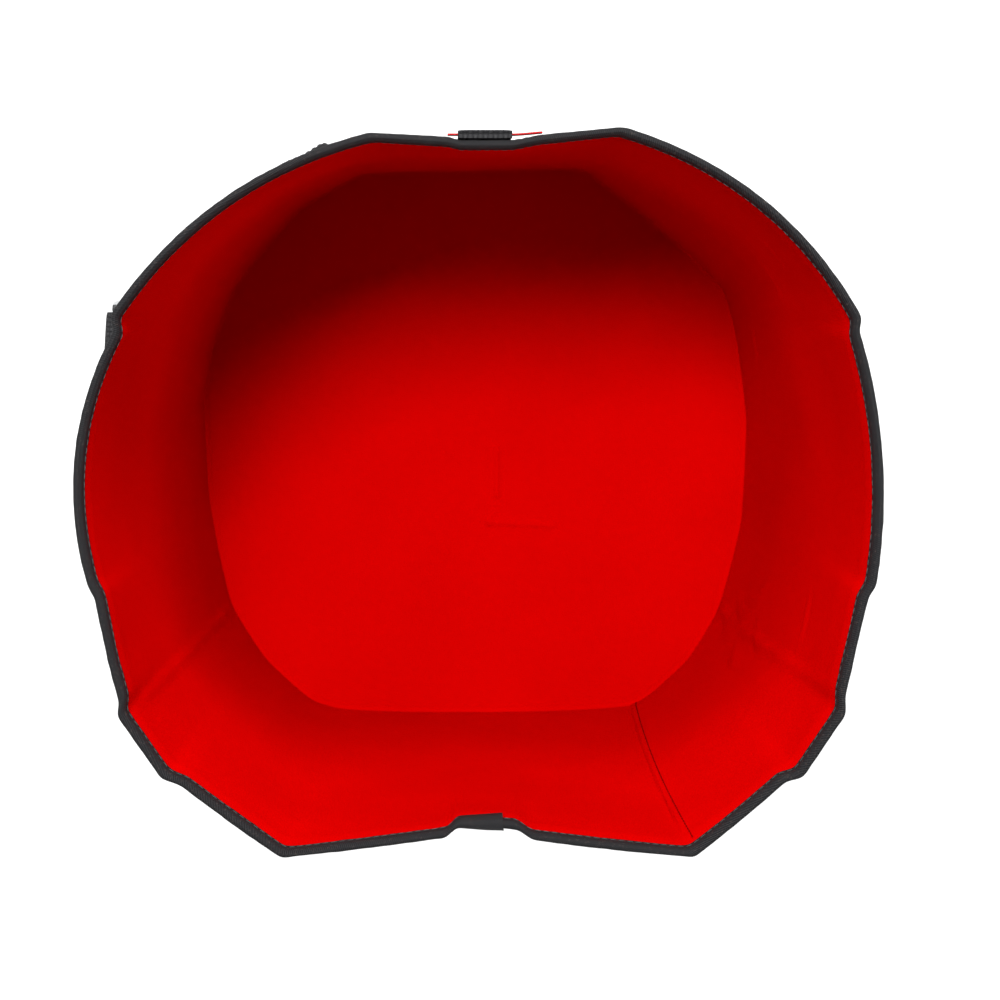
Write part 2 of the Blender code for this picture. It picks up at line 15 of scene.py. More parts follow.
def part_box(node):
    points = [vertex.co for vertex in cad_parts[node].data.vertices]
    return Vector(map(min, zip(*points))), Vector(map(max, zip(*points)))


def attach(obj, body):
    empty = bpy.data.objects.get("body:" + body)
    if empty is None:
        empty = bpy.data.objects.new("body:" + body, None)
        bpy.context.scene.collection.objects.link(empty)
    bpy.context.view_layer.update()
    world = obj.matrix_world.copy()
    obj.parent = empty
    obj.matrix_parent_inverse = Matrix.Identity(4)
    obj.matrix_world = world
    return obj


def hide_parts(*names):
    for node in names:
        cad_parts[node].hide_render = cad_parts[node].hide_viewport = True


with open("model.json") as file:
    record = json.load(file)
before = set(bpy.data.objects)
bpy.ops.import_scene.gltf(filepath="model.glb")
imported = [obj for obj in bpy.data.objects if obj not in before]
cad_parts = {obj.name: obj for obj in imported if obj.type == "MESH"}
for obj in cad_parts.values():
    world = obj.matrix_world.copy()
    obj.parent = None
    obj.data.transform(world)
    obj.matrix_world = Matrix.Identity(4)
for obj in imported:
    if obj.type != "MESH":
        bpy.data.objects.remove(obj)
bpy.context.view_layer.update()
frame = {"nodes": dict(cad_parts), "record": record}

MM = 0.001
rng = np.random.default_rng(7)

# ---- dimensions of the frame --------------------------------------------------------------------

RIM_TOP = 300.0
TAPE = 0.7
GAP = 0.2
OUTER_CLOTH = 1.0
BOARD = 1.4
LINING = 0.8
LAYERS = OUTER_CLOTH + GAP + BOARD + GAP + LINING
BASE_FLOOR = 5.0
BASE_HEIGHT = 42.0
BASE_WALL = 2.8
BASE_GAP = 0.8
WALL_FOOT = BASE_FLOOR + 0.4
BOARD_TOP = RIM_TOP - 16.0
FLOOR_HALF_WIDTH = 138.0
RIM_HALF_X = 170.0
RIM_HALF_Y = 153.0
RIM_SQUARE = 2.45

# Folds of the rim's outer edge, as in the frame: x, y, bulge of the run to the next fold.
RIM_FOLDS = (
    (2.0, -141.2, 0.0),
    (10.0, -141.4, 0.0),
    (16.0, -142.0, 0.0),
    (22.0, -146.5, 0.5),
    (91.0, -154.2, 0.5),
    (130.0, -121.5, 0.0),
    (137.0, -120.0, 0.0),
    (155.0, -93.0, 0.0),
    (154.7, -85.0, 0.0),
    (158.0, -70.0, 0.0),
    (164.0, -43.0, 0.0),
    (167.3, -38.0, 6.3),
    (159.0, 69.6, 0.0),
    (160.0, 75.4, 13.0),
    (59.2, 154.6, 0.0),
    (25.0, 151.2, 0.0),
    (14.5, 149.0, 0.0),
    (-9.5, 149.0, 0.0),
    (-12.6, 150.3, 0.0),
    (-46.0, 152.2, 12.5),
    (-154.6, 76.5, 0.0),
    (-153.2, 70.0, 10.8),
    (-165.5, -37.0, 0.0),
    (-162.5, -42.5, 0.0),
    (-157.1, -70.0, 0.0),
    (-152.5, -87.4, 0.0),
    (-153.7, -92.8, 0.0),
    (-135.2, -119.7, 0.0),
    (-127.3, -122.6, 0.3),
    (-84.8, -154.0, 0.3),
    (-14.0, -145.3, 0.0),
    (-10.5, -140.8, 0.0),
)

# Corners of the lining's floor, as angle and radius: the soft wall doesn't keep to the oval.
FLOOR_CORNERS = (
    (4.6, 137.3),
    (21.5, 141.3),
    (31.4, 147.9),
    (54.1, 141.7),
    (68.5, 150.4),
    (91.2, 136.5),
    (112.9, 149.2),
    (126.4, 149.0),
    (145.4, 144.5),
    (158.5, 141.6),
    (171.1, 138.8),
    (192.4, 137.2),
    (213.8, 149.6),
    (226.0, 155.0),
    (237.8, 159.3),
    (243.3, 155.0),
    (272.6, 138.8),
    (300.6, 160.1),
    (303.9, 159.9),
    (314.4, 156.7),
    (325.1, 150.9),
    (343.4, 140.5),
)
CORNER_SHARE = 0.75  # how far the floor's outline goes from the oval towards those corners

POCKET_CLOTH = 1.4
POCKET_GAP = 0.5
POCKET_FOOT = BASE_HEIGHT + 5.0
FLANGE = 4.0
GUSSET = 5.0
POCKETS = (
    ("front_pocket", 9.5, 29.0, 188.0, 19.0),
    ("corner_pocket", 31.5, 46.5, 168.0, 18.0),
    ("driver_sleeve", 49.0, 58.5, 212.0, 17.0),
    ("plier_pocket", 61.0, 74.5, 160.0, 17.0),
    ("side_pocket", 78.0, 111.0, 110.0, 20.0),
    ("rear_pocket", 116.0, 136.0, 115.0, 14.0),
    ("back_pocket", 138.5, 157.0, 90.0, 10.5),
)

WEB_WIDTH = 25.0
WEB = 1.5
FRONT_WEB_X = 3.0
FRONT_WEB_FOOT = 62.0
FRONT_WEB_LOOPS = 4
FRONT_WEB_PITCH = 54.0
FRONT_WEB_ARCH = (7.5, 7.5, 6.0, 1.8)  # of each loop, from the foot up: the top one lies flat

HANDLE_DROP = 90.0
HANDLE_REACH = 4.0
RING_WIRE = 2.0
RING_HEIGHT = 20.0
TAB_LENGTH = 52.0
GRIP_HALF_LENGTH = 31.0

BACK_X = 2.1
BACK_WEB_WIDTH = 22.7
BACK_WEB = 1.2
BACK_LOOP_TOP = RIM_TOP - 1.0
BACK_LOOP_LENGTH = 62.0
BACK_STRAP = 1.0
BACK_STRAP_TOP = RIM_TOP - 3.0
BACK_STRAP_HEIGHT = 18.0
BACK_STRAP_ROUTE = ((-13.5, 151.2), (2.0, 151.2), (14.5, 151.2), (26.0, 152.1))

ROUND = 1080  # steps round the wall

# Soft lights round the bucket: name, x, y, z and power. They are low enough to miss its floor.
SIDE_LIGHTS = (
    ("side_left", -1.45, -0.25, 1.1, 9.0),
    ("side_right", 1.45, -0.1, 1.2, 14.0),
    ("side_back", 0.1, 1.5, 1.3, 24.0),
    ("side_front", 0.0, -1.5, 0.95, 3.0),
)
ANGLES = np.arange(ROUND) * math.tau / ROUND


# ---- the wall's shape ---------------------------------------------------------------------------


def soften(values, passes):
    """A closed run of values, smoothed a little with each pass."""
    for _ in range(passes):
        values = (np.roll(values, 1) + 2.0 * values + np.roll(values, -1)) / 4.0
    return values


def superellipse(angles, half_x, half_y, power):
    across = np.abs(np.cos(angles)) / half_x
    along = np.abs(np.sin(angles)) / half_y
    return (across**power + along**power) ** (-1.0 / power)


def rim_outline():
    """Radius of the rim's outer edge at each of ANGLES."""
    points = []
    t = np.arange(24)[:, None] / 24.0
    for i, (x, y, bulge) in enumerate(RIM_FOLDS):
        here = np.array((x, y))
        run = np.array(RIM_FOLDS[(i + 1) % len(RIM_FOLDS)][:2]) - here
        outward = np.array((run[1], -run[0])) / np.hypot(*run)
        points.append(here + run * t + outward * (4.0 * bulge * t * (1.0 - t)))
    points = np.concatenate(points)
    angles = np.arctan2(points[:, 1], points[:, 0]) % math.tau
    order = np.argsort(angles)
    radius = np.hypot(points[:, 0], points[:, 1])
    return np.interp(ANGLES, angles[order], radius[order], period=math.tau)


def floor_outline():
    """Radius of the lining's floor at each of ANGLES."""
    forward = (1.0 - np.sin(ANGLES)) / 2.0
    oval = superellipse(ANGLES, FLOOR_HALF_WIDTH, FLOOR_HALF_WIDTH, 2.3 + 0.5 * forward)
    corners = []
    t = np.arange(24)[:, None] / 24.0
    places = np.radians([angle for angle, _ in FLOOR_CORNERS])
    radii = np.array([radius for _, radius in FLOOR_CORNERS])
    points = np.stack([radii * np.cos(places), radii * np.sin(places)], axis=-1)
    for here, there in zip(points, np.roll(points, -1, axis=0)):
        corners.append(here + (there - here) * t)
    corners = np.concatenate(corners)
    angles = np.arctan2(corners[:, 1], corners[:, 0]) % math.tau
    order = np.argsort(angles)
    radius = np.hypot(corners[:, 0], corners[:, 1])
    seen = np.interp(ANGLES, angles[order], radius[order], period=math.tau)
    return soften(oval + (seen - oval) * CORNER_SHARE, 24)


RIM_SHARP = soften(rim_outline(), 4)
RIM_SOFT = soften(rim_outline(), 40)
FLOOR_LINE = floor_outline()
PLAIN_RIM = superellipse(ANGLES, RIM_HALF_X, RIM_HALF_Y, RIM_SQUARE)


def around(values, angles):
    """A value given at each of ANGLES, read at other angles."""
    return np.interp(np.mod(angles, math.tau), ANGLES, values, period=math.tau)


def fold_share(t):
    """How much of a rim fold is left at this share of the wall's height."""
    low = 0.5 * t
    u = t - 0.5
    knee = 0.25 + 0.5 * u + 3.125 * u * u
    high = 1.75 * t - 0.75
    return np.where(t < 0.5, low, np.where(t < 0.7, knee, high))


def wall_radius(angles, z):
    """Radius of the outer cloth's outer face."""
    angles, z = np.broadcast_arrays(np.asarray(angles, float), np.asarray(z, float))
    t = np.clip((z - WALL_FOOT) / (RIM_TOP - WALL_FOOT), 0.0, 1.0)
    crisp = np.clip((z - 215.0) / 75.0, 0.0, 1.0)
    edge = around(RIM_SOFT, angles) * (1.0 - crisp) + around(RIM_SHARP, angles) * crisp
    foot = around(FLOOR_LINE, angles) + LAYERS
    plain = around(PLAIN_RIM, angles) - TAPE - GAP
    return foot + (plain - foot) * t + (edge - TAPE - GAP - plain) * fold_share(t)


def on_wall(angles, z, away):
    """Points this far off the outer cloth."""
    radius = wall_radius(angles, z) + away
    angles, z, radius = np.broadcast_arrays(angles, z, radius)
    return np.stack([radius * np.cos(angles), radius * np.sin(angles), z], axis=-1)


# ---- meshes -------------------------------------------------------------------------------------


def grid_faces(index):
    corners = (index[:-1, :-1], index[:-1, 1:], index[1:, 1:], index[1:, :-1])
    return np.stack(corners, axis=-1).reshape(-1, 4)


def signed_volume(points, quads):
    a, b, c, d = (points[quads[:, k]] for k in range(4))
    return float((np.cross(a, b) * c).sum() + (np.cross(a, c) * d).sum())


def make_piece(name, points, quads, uvs, finish, slot, body="bucket", stands_for=(), wear=None):
    """A new piece from points in millimetres, four-cornered faces and their corners' uvs."""
    if signed_volume(points, quads) < 0.0:
        quads, uvs = quads[:, ::-1], uvs[:, ::-1]
    mesh = bpy.data.meshes.new(name)
    mesh.vertices.add(len(points))
    mesh.vertices.foreach_set("co", (points * MM).astype(np.float32).ravel())
    mesh.loops.add(quads.size)
    mesh.loops.foreach_set("vertex_index", quads.astype(np.int32).ravel())
    mesh.polygons.add(len(quads))
    mesh.polygons.foreach_set("loop_start", np.arange(0, quads.size, 4, dtype=np.int32))
    mesh.polygons.foreach_set("use_smooth", np.ones(len(quads), dtype=bool))
    layer = mesh.uv_layers.new(name="UVMap")
    layer.data.foreach_set("uv", uvs.astype(np.float32).ravel())
    mesh.update(calc_edges=True)
    mesh.validate()
    mesh.set_sharp_from_angle(angle=math.radians(38.0))
    if wear is not None:
        mark = mesh.attributes.new("wear", "FLOAT", "POINT")
        mark.data.foreach_set("value", wear.astype(np.float32).ravel())
    mesh.materials.append(finish)
    made = bpy.data.objects.new(name, mesh)
    bpy.context.scene.collection.objects.link(made)
    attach(made, body)
    if stands_for:
        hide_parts(*stands_for)
    return made


def shell(name, near, far, uv, ring=False, wear=None, **rest):
    """A closed body between two grids of points. A ring joins its last column to its first."""
    rows, columns = near.shape[:2]
    index = np.arange(rows * columns).reshape(rows, columns)
    if ring:
        index = np.hstack([index, index[:, :1]])
    wide = uv.shape[1]
    uv_index = np.arange(rows * wide).reshape(rows, wide)
    quads = [grid_faces(index), grid_faces(index + rows * columns)[:, ::-1]]
    corners = [grid_faces(uv_index), grid_faces(uv_index)[:, ::-1]]
    rims = [(index[0], uv_index[0]), (index[-1, ::-1], uv_index[-1, ::-1])]
    if not ring:
        rims.append((index[::-1, 0], uv_index[::-1, 0]))
        rims.append((index[:, -1], uv_index[:, -1]))
    for line, place in rims:
        back = line + rows * columns
        quads.append(np.stack([line[1:], line[:-1], back[:-1], back[1:]], axis=-1))
        corners.append(np.stack([place[1:], place[:-1], place[:-1], place[1:]], axis=-1))
    points = np.concatenate([near.reshape(-1, 3), far.reshape(-1, 3)])
    uvs = uv.reshape(-1, 2)[np.concatenate(corners)]
    if wear is not None:
        wear = np.concatenate([wear.ravel(), wear.ravel()])
    return make_piece(name, points, np.concatenate(quads), uvs, wear=wear, **rest)


def run_length(points, closed=False):
    """Distance along a line of points, in metres, from its first point."""
    if closed:
        points = np.concatenate([points, points[:1]])
    steps = np.linalg.norm(np.diff(points, axis=0), axis=-1)
    return np.concatenate([[0.0], np.cumsum(steps)]) * MM


def tube_parts(rings, closed):
    """Faces and uvs of a skin over rings of points, with flat ends unless it is closed."""
    count, sides = rings.shape[:2]
    index = np.arange(count * sides).reshape(count, sides)
    index = np.hstack([index, index[:, :1]])
    if closed:
        index = np.vstack([index, index[:1]])
    along = run_length(rings.mean(axis=1), closed)
    across = run_length(rings[count // 2], True)
    uv = np.stack(np.broadcast_arrays(across[None, :], along[:, None]), axis=-1)
    uv_index = np.arange(uv.shape[0] * uv.shape[1]).reshape(uv.shape[:2])
    quads = [grid_faces(index)]
    corners = [grid_faces(uv_index)]
    if not closed:
        k = np.arange(sides // 2 - 1)
        cap = np.stack([k, k + 1, sides - 2 - k, sides - 1 - k], axis=-1)
        quads += [index[0][cap[:, ::-1]], index[-1][cap]]
        corners += [uv_index[0][cap[:, ::-1]], uv_index[-1][cap]]
    return np.concatenate(quads), uv.reshape(-1, 2)[np.concatenate(corners)]


def tube(name, rings, closed=False, **rest):
    quads, uvs = tube_parts(rings, closed)
    return make_piece(name, rings.reshape(-1, 3), quads, uvs, **rest)


def smooth_path(points, steps, closed=False):
    """A finer line through the same points, as a Catmull-Rom curve."""
    points = np.asarray(points, float)
    count = len(points)
    runs = count if closed else count - 1
    t = (np.arange(steps) / steps)[:, None]
    found = []
    for i in range(runs):
        if closed:
            a, b, c, d = (points[(i + k) % count] for k in (-1, 0, 1, 2))
        else:
            b, c = points[i], points[i + 1]
            a = points[i - 1] if i else 2.0 * b - c
            d = points[i + 2] if i + 2 < count else 2.0 * c - b
        found.append(
            b
            + 0.5 * t * (c - a)
            + t * t * (a - 2.5 * b + 2.0 * c - 0.5 * d)
            + t**3 * (1.5 * (b - c) + 0.5 * (d - a))
        )
    if not closed:
        found.append(points[-1:])
    return np.concatenate(found)


def unit(vectors):
    return vectors / np.maximum(np.linalg.norm(vectors, axis=-1, keepdims=True), 1e-9)


def web_rings(path, side, width, thickness, closed=False, sides=20):
    """Cuts across a flat web: path is its middle line and side points across it."""
    if closed:
        along = np.roll(path, -1, axis=0) - np.roll(path, 1, axis=0)
    else:
        along = np.gradient(path, axis=0)
    along = unit(along)
    side = unit(np.broadcast_to(np.asarray(side, float), path.shape))
    out = unit(np.cross(along, side))
    angle = math.tau * (np.arange(sides) + 0.5) / sides
    wide = np.sign(np.cos(angle)) * np.abs(np.cos(angle)) ** 0.35 * width / 2.0
    thick = np.sign(np.sin(angle)) * np.abs(np.sin(angle)) ** 0.6 * thickness / 2.0
    return (
        path[:, None, :]
        + side[:, None, :] * wide[None, :, None]
        + out[:, None, :] * thick[None, :, None]
    )


class Threads:
    """Stitches gathered from several seams into one piece."""

    def __init__(self, pitch=3.4, length=2.5, width=0.75, rise=0.28):
        self.pitch, self.length, self.width, self.rise = pitch, length, width, rise
        self.points, self.quads, self.uvs, self.count = [], [], [], 0

    def seam(self, line, out):
        """Adds one row of stitches along a line of points; out points off the cloth."""
        line = np.asarray(line, float)
        out = unit(np.broadcast_to(np.asarray(out, float), line.shape))
        far = run_length(line) / MM
        places = np.arange(self.pitch / 2.0, far[-1] - self.pitch / 3.0, self.pitch)
        for place in places:
            stops = place + np.array((-0.5, -0.3, 0.0, 0.3, 0.5)) * self.length
            rings = self.one(line, out, far, stops)
            quads, uvs = tube_parts(rings, False)
            self.points.append(rings.reshape(-1, 3))
            self.quads.append(quads + self.count)
            self.uvs.append(uvs)
            self.count += rings.shape[0] * rings.shape[1]

    def one(self, line, out, far, stops):
        middle = np.stack([np.interp(stops, far, line[:, k]) for k in range(3)], axis=-1)
        up = unit(np.stack([np.interp(stops, far, out[:, k]) for k in range(3)], axis=-1))
        side = unit(np.cross(np.gradient(middle, axis=0), up))
        lift = np.array((-0.35, 0.6, 1.0, 0.6, -0.35)) * self.rise
        size = np.array((0.55, 0.9, 1.0, 0.9, 0.55)) * self.width / 2.0
        angle = math.tau * np.arange(6) / 6.0
        return (
            (middle + up * lift[:, None])[:, None, :]
            + side[:, None, :] * (size[:, None] * np.cos(angle))[..., None]
            + up[:, None, :] * (size[:, None] * np.sin(angle) * 0.8)[..., None]
        )

    def make(self, name, **rest):
        points, quads, uvs = map(np.concatenate, (self.points, self.quads, self.uvs))
        return make_piece(name, points, quads, uvs, **rest)


# ---- materials ----------------------------------------------------------------------------------


class Finish:
    """A Principled material, with short ways to add nodes."""

    def __init__(self, name, roughness, metallic=0.0, specular=0.5, sheen=0.0):
        self.material = bpy.data.materials.new(name)
        self.material.use_nodes = True
        self.tree = self.material.node_tree
        self.shader = self.tree.nodes["Principled BSDF"]
        self.shader.inputs["Roughness"].default_value = roughness
        self.shader.inputs["Metallic"].default_value = metallic
        self.shader.inputs["Specular IOR Level"].default_value = specular
        self.shader.inputs["Sheen Weight"].default_value = sheen
        self.shader.inputs["Sheen Roughness"].default_value = 0.4

    def put(self, socket, value):
        if isinstance(value, bpy.types.NodeSocket):
            self.tree.links.new(value, socket)
        else:
            socket.default_value = value

    def node(self, kind, settings=(), **values):
        made = self.tree.nodes.new(kind)
        for key, value in dict(settings).items():
            setattr(made, key, value)
        for key, value in values.items():
            self.put(made.inputs[key.replace("_", " ")], value)
        return made

    def math(self, operation, a, b=0.0):
        made = self.tree.nodes.new("ShaderNodeMath")
        made.operation = operation
        self.put(made.inputs[0], a)
        self.put(made.inputs[1], b)
        return made.outputs[0]

    def uv(self):
        split = self.tree.nodes.new("ShaderNodeSeparateXYZ")
        self.put(split.inputs[0], self.node("ShaderNodeTexCoord").outputs["UV"])
        return split.outputs[0], split.outputs[1]

    def noise(self, scale, detail=3.0, stretch=None):
        where = self.node("ShaderNodeTexCoord").outputs["Object"]
        if stretch:
            where = self.node("ShaderNodeMapping", Vector=where, Scale=stretch).outputs[0]
        return self.node("ShaderNodeTexNoise", Vector=where, Scale=scale, Detail=detail).outputs[0]

    def blend(self, share, low, high):
        """A colour from low to high by share."""
        ramp = self.tree.nodes.new("ShaderNodeMix")
        ramp.data_type = "RGBA"
        self.put(ramp.inputs["Factor"], share)
        for socket, colour in ((ramp.inputs[6], low), (ramp.inputs[7], high)):
            self.put(socket, colour if isinstance(colour, bpy.types.NodeSocket) else (*colour, 1.0))
        return ramp.outputs[2]

    def spread(self, value, low, high):
        made = self.node("ShaderNodeMapRange", Value=value, From_Min=low, From_Max=high)
        return made.outputs[0]

    def colour(self, value):
        self.put(self.shader.inputs["Base Color"], value)

    def bump(self, height, distance, strength=1.0, under=None):
        made = self.node("ShaderNodeBump", Height=height, Distance=distance, Strength=strength)
        if under is not None:
            self.put(made.inputs["Normal"], under)
        self.put(self.shader.inputs["Normal"], made.outputs[0])
        return made.outputs[0]

    def weave(self, across, along):
        """Height of a plain weave whose yarns are this wide, in metres."""
        u, v = self.uv()
        u, v = self.math("DIVIDE", u, across), self.math("DIVIDE", v, along)
        over = self.math("FLOORED_MODULO", self.math("ADD", self.math("FLOOR", u), self.math("FLOOR", v)), 2.0)
        crown_u = self.math("ABSOLUTE", self.math("SINE", self.math("MULTIPLY", u, math.pi)))
        crown_v = self.math("ABSOLUTE", self.math("SINE", self.math("MULTIPLY", v, math.pi)))
        warp = self.math("MULTIPLY", crown_u, self.math("ADD", self.math("MULTIPLY", crown_v, 0.5), 0.5))
        weft = self.math("MULTIPLY", crown_v, self.math("ADD", self.math("MULTIPLY", crown_u, 0.5), 0.3))
        rest = self.math("SUBTRACT", 1.0, over)
        return self.math("ADD", self.math("MULTIPLY", warp, over), self.math("MULTIPLY", weft, rest))

    def ribs(self, pitch, lean=0.0):
        """Height of fine ribs that run across the length of a tape, in metres."""
        u, v = self.uv()
        place = self.math("ADD", self.math("DIVIDE", v, pitch), self.math("MULTIPLY", u, lean / pitch))
        return self.math("ABSOLUTE", self.math("SINE", self.math("MULTIPLY", place, math.pi)))


def lining_finish():
    made = Finish("lining_red_nylon", 0.8, specular=0.0)
    weave = made.weave(0.00055, 0.00055)
    broad = made.noise(14.0, 2.0)
    fine = made.noise(260.0, 3.0)
    share = made.math("ADD", made.math("MULTIPLY", broad, 0.7), made.math("MULTIPLY", fine, 0.3))
    cloth = made.blend(made.spread(share, 0.3, 0.7), (0.47, 0.0002, 0.0002), (0.54, 0.0003, 0.0003))
    made.colour(made.blend(made.math("MULTIPLY", weave, 0.35), cloth, (0.60, 0.0005, 0.0005)))
    soft = made.bump(broad, 0.0012, 0.5)
    made.bump(weave, 0.00012, 0.5, under=soft)
    return made.material


def cloth_finish(name, dark, light, yarn=0.0011):
    made = Finish(name, 0.78, specular=0.22, sheen=0.06)
    weave = made.weave(yarn, yarn)
    dust = made.spread(made.noise(45.0, 5.0), 0.45, 0.8)
    base = made.blend(made.math("MULTIPLY", weave, 0.9), dark, light)
    worn = made.math("MULTIPLY", made.node("ShaderNodeAttribute", (("attribute_name", "wear"),)).outputs["Fac"], 0.55)
    share = made.math("MULTIPLY", worn, made.spread(made.noise(320.0, 4.0), 0.35, 0.75))
    base = made.blend(made.math("MULTIPLY", dust, 0.16), base, (0.075, 0.072, 0.068))
    made.colour(made.blend(share, base, (0.13, 0.125, 0.12)))
    made.bump(weave, 0.0003, 0.9)
    return made.material


def tape_finish():
    made = Finish("binding_ribbed_tape", 0.7, specular=0.12)
    ribs = made.ribs(0.00085, 0.6)
    flecks = made.spread(made.noise(900.0, 2.0), 0.58, 0.72)
    base = made.blend(ribs, (0.0015, 0.0015, 0.0018), (0.023, 0.023, 0.025))
    made.colour(made.blend(made.math("MULTIPLY", flecks, 0.35), base, (0.085, 0.066, 0.058)))
    grain = made.bump(made.noise(700.0, 3.0), 0.00015, 0.5)
    made.bump(ribs, 0.00022, 0.9, under=grain)
    return made.material


def web_finish(name, dark, light):
    made = Finish(name, 0.7, specular=0.25)
    weave = made.weave(0.0021, 0.0012)
    made.colour(made.blend(weave, dark, light))
    grain = made.bump(made.noise(800.0, 2.0), 0.00012, 0.5)
    made.bump(weave, 0.00045, 0.95, under=grain)
    return made.material


def rubber_finish(name, dark, light, grain_scale):
    made = Finish(name, 0.55, specular=0.35)
    grain = made.noise(grain_scale, 4.0)
    scuffs = made.spread(made.noise(30.0, 6.0), 0.55, 0.8)
    base = made.blend(made.spread(grain, 0.3, 0.7), dark, light)
    made.colour(made.blend(made.math("MULTIPLY", scuffs, 0.4), base, (0.085, 0.082, 0.078)))
    rough = made.math("ADD", made.math("MULTIPLY", scuffs, 0.25), 0.5)
    made.put(made.shader.inputs["Roughness"], rough)
    made.bump(grain, 0.0003, 0.6)
    return made.material


def board_finish():
    made = Finish("board_white_plastic", 0.5)
    made.colour(made.blend(made.noise(60.0), (0.68, 0.68, 0.66), (0.78, 0.78, 0.76)))
    made.bump(made.noise(400.0), 0.0001, 0.4)
    return made.material


def steel_finish():
    made = Finish("ring_plated_steel", 0.28, metallic=1.0)
    stain = made.spread(made.noise(120.0, 5.0), 0.5, 0.8)
    made.colour(made.blend(stain, (0.62, 0.63, 0.64), (0.40, 0.40, 0.40)))
    made.put(made.shader.inputs["Roughness"], made.math("ADD", made.math("MULTIPLY", stain, 0.25), 0.22))
    made.bump(made.noise(500.0, 3.0), 0.00008, 0.4)
    return made.material


def thread_finish(name, dark, light):
    made = Finish(name, 0.6, specular=0.3)
    twist = made.ribs(0.0004, 0.8)
    made.colour(made.blend(twist, dark, light))
    made.bump(twist, 0.00012, 0.7)
    return made.material


RED = lining_finish()
CLOTH = cloth_finish("outer_black_cloth", (0.006, 0.006, 0.007), (0.034, 0.034, 0.036), 0.0014)
POCKET = cloth_finish("pocket_black_cloth", (0.007, 0.007, 0.008), (0.044, 0.044, 0.047), 0.0010)
TAPE_GREY = tape_finish()
BLACK_WEB = web_finish("web_black", (0.004, 0.004, 0.005), (0.030, 0.030, 0.032))
RED_WEB = web_finish("web_red", (0.22, 0.001, 0.001), (0.62, 0.002, 0.002))
RUBBER = rubber_finish("base_black_rubber", (0.014, 0.014, 0.015), (0.030, 0.030, 0.031), 900.0)
GRIP = rubber_finish("grip_black_rubber", (0.010, 0.010, 0.011), (0.024, 0.024, 0.025), 1400.0)
WHITE_BOARD = board_finish()
STEEL = steel_finish()
DARK_THREAD = thread_finish("thread_dark", (0.02, 0.02, 0.021), (0.075, 0.075, 0.078))
RED_THREAD = thread_finish("thread_red", (0.10, 0.0005, 0.0005), (0.22, 0.001, 0.001))
RED_THREAD.node_tree.nodes["Principled BSDF"].inputs["Specular IOR Level"].default_value = 0.0


# ---- lining -------------------------------------------------------------------------------------

# Creases of the lining: angle at the floor, angle at the rim, width, and how far it stands in.
CREASES = (
    (213.8, 211.5, 3.0, 0.9),
    (325.1, 330.7, 3.0, 1.0),
    (237.8, 240.4, 7.0, 0.7),
    (145.4, 154.0, 9.0, 0.8),
    (31.4, 25.3, 8.0, 0.8),
)
SEAM = (300.6, 300.8, 299.9)  # its angle at the floor, at the rim and at middle height

# Small wrinkles of the lining: angle, height, length, lean in degrees from level, and rise.
WRINKLES = (
    (326.5, 34.0, 15.0, 78.0, 1.7),
    (324.0, 62.0, 18.0, 84.0, 1.4),
    (328.5, 84.0, 22.0, 80.0, 1.6),
    (321.5, 104.0, 14.0, 95.0, 1.1),
    (327.0, 138.0, 22.0, 88.0, 1.4),
    (323.5, 168.0, 14.0, 76.0, 0.9),
    (333.0, 96.0, 20.0, 70.0, 1.1),
    (336.5, 208.0, 12.0, -15.0, 0.8),
    (33.0, 176.0, 12.0, 35.0, 1.0),
    (38.0, 232.0, 10.0, 25.0, 0.8),
    (214.0, 46.0, 13.0, -65.0, 1.1),
    (216.0, 84.0, 11.0, -75.0, 0.8),
    (21.0, 60.0, 10.0, 20.0, 0.8),
)


def lining_relief(angles, z):
    """How far the lining stands in from its own plain line."""
    t = (z - WALL_FOOT) / (RIM_TOP - WALL_FOOT)
    fade = np.clip((z - 8.0) / 16.0, 0.0, 1.0) * np.clip((292.0 - z) / 30.0, 0.0, 1.0)
    lift = 0.35 + 0.35 * np.sin(5.0 * angles + 0.02 * z + 1.0) * np.sin(z / 47.0 + 2.0 * angles)
    for foot, rim, width, rise in CREASES:
        middle = np.radians(foot + (rim - foot) * t)
        away = np.angle(np.exp(1j * (angles - middle))) * 155.0
        lift = lift + rise * np.exp(-((away / width) ** 2))
    foot, rim, knee = SEAM
    middle = np.radians(foot + (rim - foot) * t + 4.0 * (knee - (foot + rim) / 2.0) * t * (1.0 - t))
    away = np.angle(np.exp(1j * (angles - middle))) * 165.0
    step = 2.2 / (1.0 + np.exp(-np.clip(away / 0.35, -30.0, 30.0))) * np.exp(-np.clip(away, 0.0, None) / 9.0)
    lift = lift + step
    for angle, height, length, lean, rise in WRINKLES:
        x = np.angle(np.exp(1j * (angles - math.radians(angle)))) * 158.0
        y = z - height
        turn = math.radians(lean)
        along = x * math.cos(turn) + y * math.sin(turn)
        across = y * math.cos(turn) - x * math.sin(turn) + 0.012 * along * along
        lift = lift + 0.6 * rise * np.exp(-((along / length) ** 2) - (across / 3.6) ** 2)
        lift = lift - 0.25 * rise * np.exp(-((along / length) ** 2) - ((across - 6.0) / 3.6) ** 2)
    return np.clip(lift, 0.0, None) * fade


